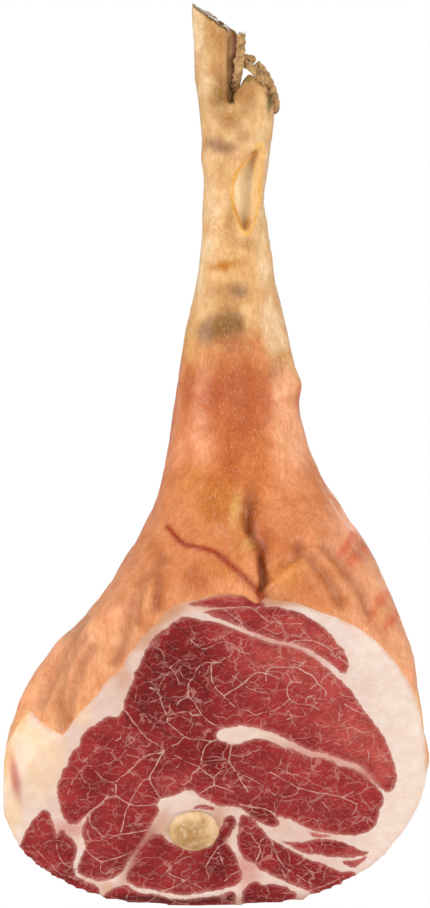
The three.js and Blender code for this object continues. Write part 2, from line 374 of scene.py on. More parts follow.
def skin_colour(n, place):
    """The rind: its tints, mottled, with streaks along the leg, red threads, pores and painted shade in its
    creases and folds.
    """
    colour = n.attribute("skin_tint", "Color")
    mottle = n.noise(n.shift(place, 12, 5, 1.0), 14, 5.0, 0.64)
    colour = n.tone(colour, n.step(mottle, 0.33, 0.67), (0.91, 0.83, 0.75), (1.06, 1.1, 1.13))
    streaks = n.noise(n.shift(place, 20, 8, 3.0), 2.6, 4.0, 0.6, (1, 1, 4.5))
    colour = n.tone(colour, n.step(streaks, 0.34, 0.66), (0.93, 0.87, 0.81), (1.05, 1.08, 1.1))
    grain = n.noise(place, 0.9, 3.0, 0.7)
    colour = n.tone(colour, n.step(grain, 0.36, 0.64), (0.96, 0.94, 0.91), (1.03, 1.04, 1.05))
    hairs = n.noise(n.shift(place, 10, 5, 6.5), 0.75, 2.0, 0.6, (1, 1, 13))
    colour = n.mix(n.step(hairs, 0.52, 0.7, 0.0, 0.2), colour, "ffdcb4")
    threads = n.cells(n.shift(n.shift(place, 9, 6, 8.0), 3, 1.4, 5.0), 10, stretch=(1, 1, 2.1))
    here = n.noise(n.shift(place, 25, 0, 12.0), 24, 2.0)
    thread = n.math("MULTIPLY", n.step(threads, 0.05, 0.015), n.step(here, 0.5, 0.62, 0.0, 0.26))
    colour = n.mix(thread, colour, "bd4a2c")
    pores = n.cells(n.shift(place, 3, 1.0), 2.4, "F1")
    colour = n.mix(n.step(pores, 0.14, 0.02, 0.0, 0.1), colour, "8a4420")
    return n.mix(n.attribute("shade"), colour, "74301a"), streaks, grain


def lean_colour(n, place):
    """The lean: its own tints, with mottles, fibres and small pale specks that are painted glints."""
    colour = n.attribute("lean_tint", "Color")
    mottle = n.noise(n.shift(place, 8, 3, 1.5), 12, 5.0, 0.64)
    colour = n.tone(colour, n.step(mottle, 0.35, 0.65), (0.84, 0.72, 0.72), (1.12, 1.18, 1.16))
    fine = n.noise(n.shift(place, 9, 3, 5.0), 1.8, 4.0, 0.7, (1.5, 1, 1))
    colour = n.tone(colour, n.step(fine, 0.36, 0.64), (0.86, 0.74, 0.75), (1.12, 1.24, 1.22))
    # Painted glints: small pale specks of caught light on the wet lean.
    glint_cells = n.cells(n.shift(place, 5, 2, 9.0), 1.9, "F1", (1.6, 1, 1))
    many = n.noise(place, 22, 3.0)
    painted_glint = n.math("MULTIPLY", n.step(glint_cells, 0.26, 0.08), n.step(many, 0.48, 0.64, 0.05, 0.5))
    return n.mix(painted_glint, colour, "d99a90"), mottle, fine


def marbling(n, place):
    """Thin fat between the muscle's bundles, drawn lines first and then finer cells."""
    away = n.add(
        "ShaderNodeVectorMath",
        {0: n.shift(place, 5, 0.6, 2.0), 1: n.attribute("vein_place", "Vector")},
        "Value",
        operation="DISTANCE",
    )
    wide = n.attribute("vein_width")
    uneven_width = n.step(n.noise(place, 6, 2.0), 0.3, 0.7, 0.4, 1.15)
    drawn = n.math("DIVIDE", away, n.math("MULTIPLY", wide, uneven_width))
    drawn = n.step(drawn, 0.95, 0.35)
    drawn = n.math("MULTIPLY", drawn, n.step(n.attribute("vein_near"), 4.0, 2.6))

    def thin(size, thickness, seed, strength, stretch):
        edge = n.cells(n.shift(place, size * 0.5, size * 0.3, seed), size, stretch=stretch)
        broken = n.noise(n.shift(place, 8, 0, seed), size * 0.75, 2.0)
        width = n.step(broken, 0.4, 0.68, 0.0, thickness / size)
        line = n.step(n.math("SUBTRACT", edge, width), 0.35 / size, -0.1 / size)
        return n.math("MULTIPLY", line, n.step(broken, 0.38, 0.5, 0.0, strength))

    large = thin(15, 0.4, 11.0, 0.9, (1.25, 1, 1))
    small = thin(7, 0.2, 23.0, 0.5, (1.3, 1, 1))
    return drawn, n.math("MAXIMUM", large, small)


def meat_material():
    n = Nodes("cured_meat")
    place = n.attribute("spot", "Vector")
    skin, streaks, grain = skin_colour(n, place)
    lean, mottle, fine = lean_colour(n, place)
    drawn, cells = marbling(n, place)

    fat = n.attribute("fat_tint", "Color")
    fat_mottle = n.noise(place, 9, 4.0, 0.6)
    fat = n.tone(fat, n.step(fat_mottle, 0.36, 0.64), (0.98, 0.93, 0.9), (1.02, 1.04, 1.05))

    wobble = n.math("MULTIPLY", n.math("SUBTRACT", n.noise(place, 5, 3.0, 0.6), 0.5), 3.4)
    depth = n.math("ADD", n.attribute("lean_depth"), wobble)
    is_lean = n.step(depth, -0.55, 0.6)
    edge_fat = n.step(depth, 3.2, 0.2, 0.0, 0.42)
    lean = n.mix(edge_fat, lean, "d08a7c")
    lean = n.mix(n.math("MULTIPLY", cells, 0.55), lean, "d8988c")
    lean = n.mix(n.math("MULTIPLY", drawn, 0.72), lean, "e2b3a8")
    crack_away = n.add(
        "ShaderNodeVectorMath",
        {0: n.shift(place, 6, 0.6, 4.0), 1: n.attribute("crack_place", "Vector")},
        "Value",
        operation="DISTANCE",
    )
    crack_share = n.step(n.attribute("crack_near"), 4.0, 2.6, 0.0, 0.6)
    crack = n.math("MULTIPLY", n.step(crack_away, 0.95, 0.3), crack_share)
    lean = n.mix(crack, lean, "3a0d12")
    face = n.mix(is_lean, fat, lean)

    skin_depth = n.math("ADD", n.attribute("skin_depth"), n.math("MULTIPLY", wobble, 0.35))
    is_skin = n.step(skin_depth, -0.5, 0.7)
    lip_share = n.step(n.noise(place, 12, 2.0), 0.4, 0.6, 0.4, 1.0)
    lip = n.math("MULTIPLY", n.step(skin_depth, -3.4, -0.4, 0.0, 0.5), lip_share)
    face = n.mix(lip, face, "d79a6c")
    colour = n.mix(is_skin, face, skin)

    # Exposed flesh in the slit and on the sawn end, and painted shade in the gap beside the shank.
    bare_or_gap_shade = n.attribute("bare_or_gap_shade")
    marrow = n.noise(place, 2.2, 4.0, 0.68, (1, 1, 3.0))
    raw_or_gap_shade = n.attribute("bare_and_gap_shade_tint", "Color")
    raw_or_gap_shade = n.tone(raw_or_gap_shade, n.step(marrow, 0.34, 0.66), (0.93, 0.88, 0.82), (1.05, 1.07, 1.08))
    colour = n.mix(bare_or_gap_shade, colour, raw_or_gap_shade)

    skin_gloss = n.step(n.noise(place, 11, 3.0), 0.35, 0.7, 0.3, 0.5)
    face_gloss = n.step(fine, 0.35, 0.65, 0.5, 0.62)
    roughness = n.add("ShaderNodeMix", {0: is_skin, 2: face_gloss, 3: skin_gloss})

    height = n.math("ADD", n.math("MULTIPLY", streaks, 0.6), n.math("MULTIPLY", grain, 0.4))
    wrinkle = n.noise(n.shift(place, 14, 6, 6.0), 7, 4.0, 0.6, (1, 1, 2.2))
    skin_normal = n.bump(n.math("ADD", height, n.math("MULTIPLY", wrinkle, 2.2)), 0.62)
    raised_fat = n.math("MULTIPLY", n.math("MAXIMUM", drawn, cells), 0.3)
    face_height = n.math("ADD", n.math("MULTIPLY", fine, 0.5), raised_fat)
    face_normal = n.bump(n.math("ADD", face_height, n.math("MULTIPLY", mottle, 0.7)), 0.5)
    normal = n.add("ShaderNodeMix", {0: is_skin, 4: face_normal, 5: skin_normal}, 1, data_type="VECTOR")
    return n.finish(
        colour,
        roughness,
        normal,
        Subsurface_Weight=0.06,
        Subsurface_Radius=(0.003, 0.0012, 0.0007),
        Subsurface_Scale=1.0,
        Coat_Weight=0.13,
        Coat_Roughness=0.22,
        Specular_IOR_Level=0.2,
    )


def bone_material():
    n = Nodes("bone")
    place = n.attribute("spot", "Vector")
    colour = n.attribute("bone_tint", "Color")
    mottle = n.noise(place, 7, 5.0, 0.65)
    colour = n.mix(n.step(mottle, 0.5, 0.68, 0.0, 0.55), colour, "fbe3bd")
    colour = n.mix(n.step(mottle, 0.48, 0.3, 0.0, 0.6), colour, "a06a35")
    pits = n.cells(n.shift(place, 3, 1.2), 2.4, "F1")
    colour = n.mix(n.step(pits, 0.22, 0.03, 0.0, 0.5), colour, "8a5426")
    normal = n.bump(n.math("ADD", mottle, n.math("MULTIPLY", n.step(pits, 0.0, 0.3), 0.3)), 0.9)
    return n.finish(
        colour,
        n.step(mottle, 0.3, 0.7, 0.5, 0.34),
        normal,
        Subsurface_Weight=0.08,
        Subsurface_Radius=(0.003, 0.0018, 0.001),
        Subsurface_Scale=1.0,
        Coat_Weight=0.15,
        Coat_Roughness=0.3,
    )


def twine_material():
    n = Nodes("twine")
    place = n.attribute("along", "Vector")
    fibres = n.noise(place, 0.45, 3.0, 0.7, (1, 1, 7))
    stain = n.noise(place, 7, 3.0)
    colour = n.mix(n.step(fibres, 0.35, 0.65), "7d572e", "e9b978")
    colour = n.mix(n.step(stain, 0.5, 0.66, 0.0, 0.5), colour, "edc68c")
    colour = n.mix(n.step(stain, 0.46, 0.32, 0.0, 0.6), colour, "5c3a1a")
    colour = n.mix(n.attribute("dark"), colour, "5b371a")
    return n.finish(colour, 0.9, n.bump(fibres, 0.35), Sheen_Weight=0.25, Sheen_Roughness=0.5)


meat = meat_material()
bone = bone_material()
twine = twine_material()


# ---- The twine ----

ROPE_ROUTE = [
    (19.3, 14.2, 635.5), (18.9, 13.6, 626), (18.2, 13.8, 616), (16.8, 16.4, 607.5),
    (15.4, 21.8, 600.8), (14.8, 29.2, 596), (16.4, 36.8, 592.4), (20.6, 43.2, 589),
    (26.6, 46.8, 585.6), (33.2, 47, 582.4), (39.2, 44.2, 580.6), (43.2, 38.8, 581.2),
    (44, 33, 584.8), (43, 28.6, 590.6), (41, 25.8, 597.2), (38, 24, 603.8), (34.2, 23, 609.8),
    (29.8, 22.5, 614.6),
]
KNOT_ROUTE = [
    (28.9, 22.4, 615.5), (26, 22.1, 617.6), (22, 21.9, 618.3), (18, 21.9, 617),
    (16.2, 20.6, 615.6), (18, 20.2, 614.2), (21.5, 20.2, 614.4), (24.8, 17.2, 613),
    (27.6, 14, 610.6), (31, 12.4, 607.2), (34.6, 12.6, 603.4), (37.4, 14.4, 599.8),
]
STRANDS = 3
STRAND_RADIUS = 1.9
STRAND_OFFSET = 1.6
TWIST_LENGTH = 17.0  # for one whole turn of the strands
ROPE_SIDES = 36
ROPE_STEP = 0.9


def strand_reach(angle):
    """How far the twisted strands reach from the rope's middle, at an angle to the first strand."""
    pitch = 2 * math.pi / STRANDS
    off = (angle + pitch / 2) % pitch - pitch / 2
    return STRAND_OFFSET * np.cos(off) + np.sqrt(STRAND_RADIUS**2 - (STRAND_OFFSET * np.sin(off)) ** 2)


def rope_piece(name, route, seed, frayed_end):
    """A rope of twisted strands along a route. It gives the object and its rings' centres."""
    line = curve(route, 12)
    lengths = np.concatenate(([0], np.cumsum(np.linalg.norm(np.diff(line, axis=0), axis=1))))
    count = int(lengths[-1] / ROPE_STEP) + 1
    along = np.linspace(0, lengths[-1], count)
    centres = np.column_stack([np.interp(along, lengths, line[:, k]) for k in range(3)])
    tangents = np.gradient(centres, axis=0)
    tangents /= np.linalg.norm(tangents, axis=1)[:, None]
    side = np.cross(tangents[0], (0.0, 1.0, 0.0))
    points, spots = [], []
    for i in range(count):
        side = side - (side @ tangents[i]) * tangents[i]
        side /= np.linalg.norm(side)
        across = np.cross(tangents[i], side)
        angles = np.arange(ROPE_SIDES) * 2 * math.pi / ROPE_SIDES
        reach = strand_reach(angles - 2 * math.pi * along[i] / TWIST_LENGTH)
        ends = min(along[i], lengths[-1] - along[i])
        reach = reach * (1 - 0.25 * math.exp(-ends / 0.8))
        ring = centres[i] + reach[:, None] * (
            np.cos(angles)[:, None] * side + np.sin(angles)[:, None] * across
        )
        points.append(ring)
        turned = angles - 2 * math.pi * along[i] / TWIST_LENGTH
        spots.append(
            np.column_stack((reach * np.cos(turned), reach * np.sin(turned), np.full(ROPE_SIDES, along[i])))
        )
    points, spots = np.vstack(points), np.vstack(spots)
    outward = points - np.repeat(centres, ROPE_SIDES, axis=0)
    outward /= np.linalg.norm(outward, axis=1)[:, None]
    points += outward * (0.16 * lumps(spots * (1, 1, 0.25), 0.7, seed))[:, None]
    faces = []
    for i in range(count - 1):
        for j in range(ROPE_SIDES):
            k = (j + 1) % ROPE_SIDES
            low, high = i * ROPE_SIDES, (i + 1) * ROPE_SIDES
            faces.append((low + j, low + k, high + k, high + j))
    faces.append(tuple(range(ROPE_SIDES - 1, -1, -1)))
    faces.append(tuple((count - 1) * ROPE_SIDES + j for j in range(ROPE_SIDES)))
    dark = np.zeros(len(points))
    for start, outwards in ((0, -1), (count - 1, 1)):
        if (start == 0) == frayed_end:
            end_points, end_faces = frayed_fibres(centres[start], outwards * tangents[start], seed)
            faces.extend([tuple(len(points) + v for v in face) for face in end_faces])
            points = np.vstack((points, end_points))
            spots = np.vstack((spots, end_points))
            dark = np.concatenate((dark, np.full(len(end_points), 0.2)))
    obj = new_object(name, points, faces, twine)
    add_attribute(obj.data, "along", "FLOAT_VECTOR", spots)
    add_attribute(obj.data, "dark", "FLOAT", dark)
    return obj, centres


def frayed_fibres(centre, outward, seed):
    """Short loose fibres that stand out of a cut end."""
    random = np.random.default_rng(seed)
    points, faces = [], []
    side = np.cross(outward, (0.3, 0.9, 0.2))
    side /= np.linalg.norm(side)
    across = np.cross(outward, side)
    for _ in range(46):
        angle, off = random.uniform(0, 2 * math.pi), 2.7 * math.sqrt(random.uniform(0, 1))
        root = centre + off * (math.cos(angle) * side + math.sin(angle) * across) - outward
        lean = outward + 0.3 * random.normal(size=3) + 0.12 * off * (
            math.cos(angle) * side + math.sin(angle) * across
        )
        lean /= np.linalg.norm(lean)
        bend = 0.35 * random.normal(size=3)
        length, thick = random.uniform(1.6, 3.6), random.uniform(0.13, 0.26)
        u = np.cross(lean, (0.1, 0.2, 0.97))
        u /= np.linalg.norm(u)
        v = np.cross(lean, u)
        start = len(points)
        for k, share in enumerate((0.0, 0.4, 0.75)):
            middle = root + lean * length * share + bend * share**2 * length * 0.4
            for a in (0, 2.1, 4.2):
                points.append(middle + thick * (1 - 0.5 * share) * (math.cos(a) * u + math.sin(a) * v))
            if k:
                for a in range(3):
                    b = (a + 1) % 3
                    low = start + 3 * (k - 1)
                    faces.append((low + a, low + b, low + 3 + b, low + 3 + a))
        tip = len(points)
        points.append(root + lean * length + bend * length * 0.4)
        faces.append((start + 2, start + 1, start))
        for a in range(3):
            faces.append((start + 6 + a, start + 6 + (a + 1) % 3, tip))
    return np.array(points), faces


rope, rope_centres = rope_piece("hanging_twine", ROPE_ROUTE, 3, True)
knot, knot_centres = rope_piece("twine_knot", KNOT_ROUTE, 8, False)
for piece, node in ((rope, "hanging_rope"), (knot, "rope_knot")):
    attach(piece, "root")
    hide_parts(node)


# ---- What the cut face shows: outlines in x and z ----

RIND_EDGE = [
    (-190, 170), (-160, 158), (-146, 148), (-140, 144), (-133, 140), (-128, 134), (-122, 129),
    (-116, 126), (-111, 123.5), (-108, 127), (-104, 134), (-98, 141), (-92, 147), (-85, 155),
    (-80, 162), (-74, 168), (-68, 172), (-66, 176), (-64, 182), (-58, 188), (-52, 197), (-46, 203),
    (-40, 208), (-36, 215), (-28, 220), (-22, 222), (-12, 224), (0, 227), (10, 228), (22, 226.5),
    (28, 224), (33, 224), (45, 223), (60, 221), (75, 215), (90, 210), (104, 203), (115, 195),
    (126, 184), (134, 174), (140, 165), (145, 155), (149, 143), (152, 128), (154, 112), (156, 95),
    (190, 90),
]

# The lean's muscles, as closed outlines. The big one runs round the ball's top.
BIG_MUSCLES = [
    (-10, 209), (-20, 211.5), (-28, 209), (-34, 204), (-40, 200), (-46, 194), (-50, 188),
    (-53, 180), (-56, 174), (-58.5, 170), (-60, 165), (-61.5, 160), (-64, 155), (-66, 149),
    (-67, 143), (-71, 138), (-78, 138.5), (-82, 136), (-87, 132), (-93, 129), (-98, 122),
    (-99, 117), (-104, 112), (-107, 107), (-107.5, 102), (-111, 99), (-113, 93), (-115.5, 86),
    (-115, 78), (-113.5, 71), (-112, 65), (-109, 60), (-105, 58), (-101, 58), (-99, 60),
    (-96, 62.5), (-94, 63), (-96.5, 57), (-97.2, 49), (-95.4, 44), (-95.4, 39.5), (-99, 33),
    (-100.5, 27), (-100.8, 22), (-97, 18.5), (-91, 16.5), (-84, 15), (-75.5, 17), (-70, 20.5),
    (-66, 25), (-63.4, 30), (-60.5, 34.5), (-56, 40), (-52, 46.5), (-48.5, 54), (-44.8, 60.5),
    (-40.2, 69), (-43, 72.5), (-39, 77), (-34.5, 78), (-29, 79.5), (-24, 82.5), (-18, 83.5),
    (-12.5, 80), (-6.5, 76), (2.5, 71.5), (10, 71), (17.6, 70.5), (25, 65), (34.3, 58),
    (40.8, 56), (46.4, 57), (46.8, 60.2), (45.5, 64), (53.8, 61.6), (60.3, 58.3), (68.7, 54.6),
    (78, 51.8), (87.3, 50.5), (96.6, 49.5), (104, 50), (112.4, 52.3), (118, 57.4), (120.3, 64),
    (120.8, 68.6), (123.5, 74), (122.6, 79.7), (119, 86), (112, 92), (105, 97), (98, 101),
    (92, 101), (86, 105), (78, 108), (70, 108), (64, 111), (56, 114), (48, 116), (40, 120),
    (32, 122), (24, 120.5), (18, 118), (11, 117), (8, 119.5), (3, 120.5), (1, 124), (4, 128),
    (10, 130), (22, 131), (32, 129), (42, 126), (50, 122), (60, 117), (70, 112), (80, 110.5),
    (90, 107), (98, 104), (106, 101), (112, 96), (117, 90), (122, 84), (127, 82), (131, 85),
    (133, 92), (131.5, 100), (129, 110), (124, 122), (117, 132), (110, 141), (105, 148),
    (100, 156), (93, 163), (86, 169), (82, 173), (74, 180), (64, 186), (54, 190), (42, 192),
    (30, 196), (20, 200), (10, 204), (0, 208),
]
SMALL_MUSCLES = {
    "lower_left": [
        (-144, 40), (-138, 54), (-134, 61), (-130, 65), (-127, 68), (-124.6, 69.2), (-121, 66),
        (-118.2, 59.5), (-116.6, 51), (-115.2, 50.5), (-113.6, 54), (-110.8, 54), (-108.8, 50.2),
        (-105, 47.4), (-102.4, 43.7), (-101, 40), (-102, 34), (-103.6, 26), (-102.6, 20.5),
        (-98.5, 17), (-92.5, 14.6), (-87, 12), (-85, 9), (-86, 4), (-96, -4), (-108, -4),
        (-122, 0), (-134, 8), (-144, 24),
    ],
    "under_ball": [
        (-37, 48.5), (-39.5, 50.6), (-44.5, 51), (-50, 46.4), (-56, 39.4), (-58.6, 33), (-61.6, 26.5),
        (-65, 20.5), (-65, 15.5), (-60, 12), (-52, 9.6), (-45.7, 9), (-34.6, 6.6), (-22.5, 5.2),
        (-6.7, 7), (5.4, 9), (13, 11.5), (17.6, 13.4), (20, 17.5), (19.6, 23), (18, 27),
        (16.5, 32), (14.5, 37), (11.5, 41), (7.5, 45), (9.5, 47.5), (12.5, 51.5), (14.8, 56),
        (15.8, 60.5), (14, 64), (10, 64.6), (6.6, 61.8), (5.2, 57), (2.4, 52), (0, 47),
        (-2.6, 43.4), (-7, 40.6), (-12, 39.2), (-18, 38.8), (-24.5, 40.4), (-29.5, 42.4),
        (-34, 44.6),
    ],
    "over_ball": [
        (-17, 70.2), (-12.3, 72.4), (-6.7, 72.4), (-0.4, 70.4), (-2, 68), (-7.6, 69), (-13.2, 69.6),
    ],
    "right_of_ball": [
        (19.9, 65.4), (25, 64), (29.7, 60.2), (35.2, 54.6), (38, 50), (42.7, 46.6), (50, 41.8),
        (59.4, 37), (65, 34.2), (70.5, 31.4), (78, 29.4), (85.4, 25.8), (92.8, 23), (101.2, 23),
        (104, 20), (99, 14), (90, 8), (80, 4), (72, 6), (64, 10), (52, 15), (42.7, 19.4),
        (34.3, 23.2), (29.5, 27), (26.9, 29.5), (21.3, 32.4), (17.8, 38), (16.2, 43.5),
        (16.2, 50), (17, 59.5),
    ],
    "bottom_right": [
        (19.4, 1), (20.4, 8.2), (25, 13.7), (30.6, 15.6), (35.2, 13), (39.9, 13.7), (50, 12.2),
        (55.7, 9.1), (61, 5), (54, -2), (36, -6), (22, -5),
    ],
    "lens": [
        (49.2, 45.3), (55.7, 45), (63, 44.6), (70.5, 46.3), (78, 47.2), (85.4, 46.7), (92.8, 45.3),
        (101.2, 41.6), (108.6, 38.4), (113.3, 37), (107.7, 34.2), (98.4, 32.8), (87.3, 33.3),
        (78, 35), (72.4, 36), (68.7, 35.6), (59.4, 38.8), (53.8, 42.5),
    ],
    "under_lens": [
        (92.8, 30.5), (100.3, 31), (106, 32.2), (112, 35), (109.6, 31.4), (105, 26.8),
        (100.3, 25.8), (95.6, 27.7),
    ],
    "streak": [
        (67.8, 52.4), (74.3, 51.4), (85.4, 49.2), (80, 48.1), (73.3, 48.6), (69.6, 50.5),
    ],
    "upper": [
        (-8.6, 214.8), (0, 217), (14, 218), (30, 218.6), (40, 219), (50, 217.4), (61, 214.2),
        (73, 208), (80.8, 201.6), (86.3, 195.3), (89.5, 190.5), (93.4, 187.4), (96.6, 179.5),
        (97, 174), (95, 168.8), (90.3, 170.8), (84, 176.3), (76.8, 181.8), (69.7, 186.6),
        (61, 189.7), (53, 192), (41.3, 194.6), (33.4, 196.8), (25.5, 200), (16.7, 204),
        (8, 207.5), (0, 211), (-6, 213.6),
    ],
    "fringe": [
        (-19, 220.5), (-12, 223), (-6, 225), (0, 227), (8, 228.5), (18, 228), (25, 227), (31, 224.5),
        (36, 220), (34, 216), (20, 217), (5, 216), (-2, 217), (-10, 218.5),
    ],
    "bottom_band": [
        (-92, -6), (-84, 3), (-77, 9), (-70, 12), (-64.5, 12.6), (-59.5, 8.6), (-52, 6.2),
        (-45, 5.8), (-34, 3.4),
        (-22, 2), (-6, 3.8), (5, 5.8), (12, 8), (15.4, 5.4), (15, 0), (10, -14), (-50, -14),
        (-84, -12),
    ],
}

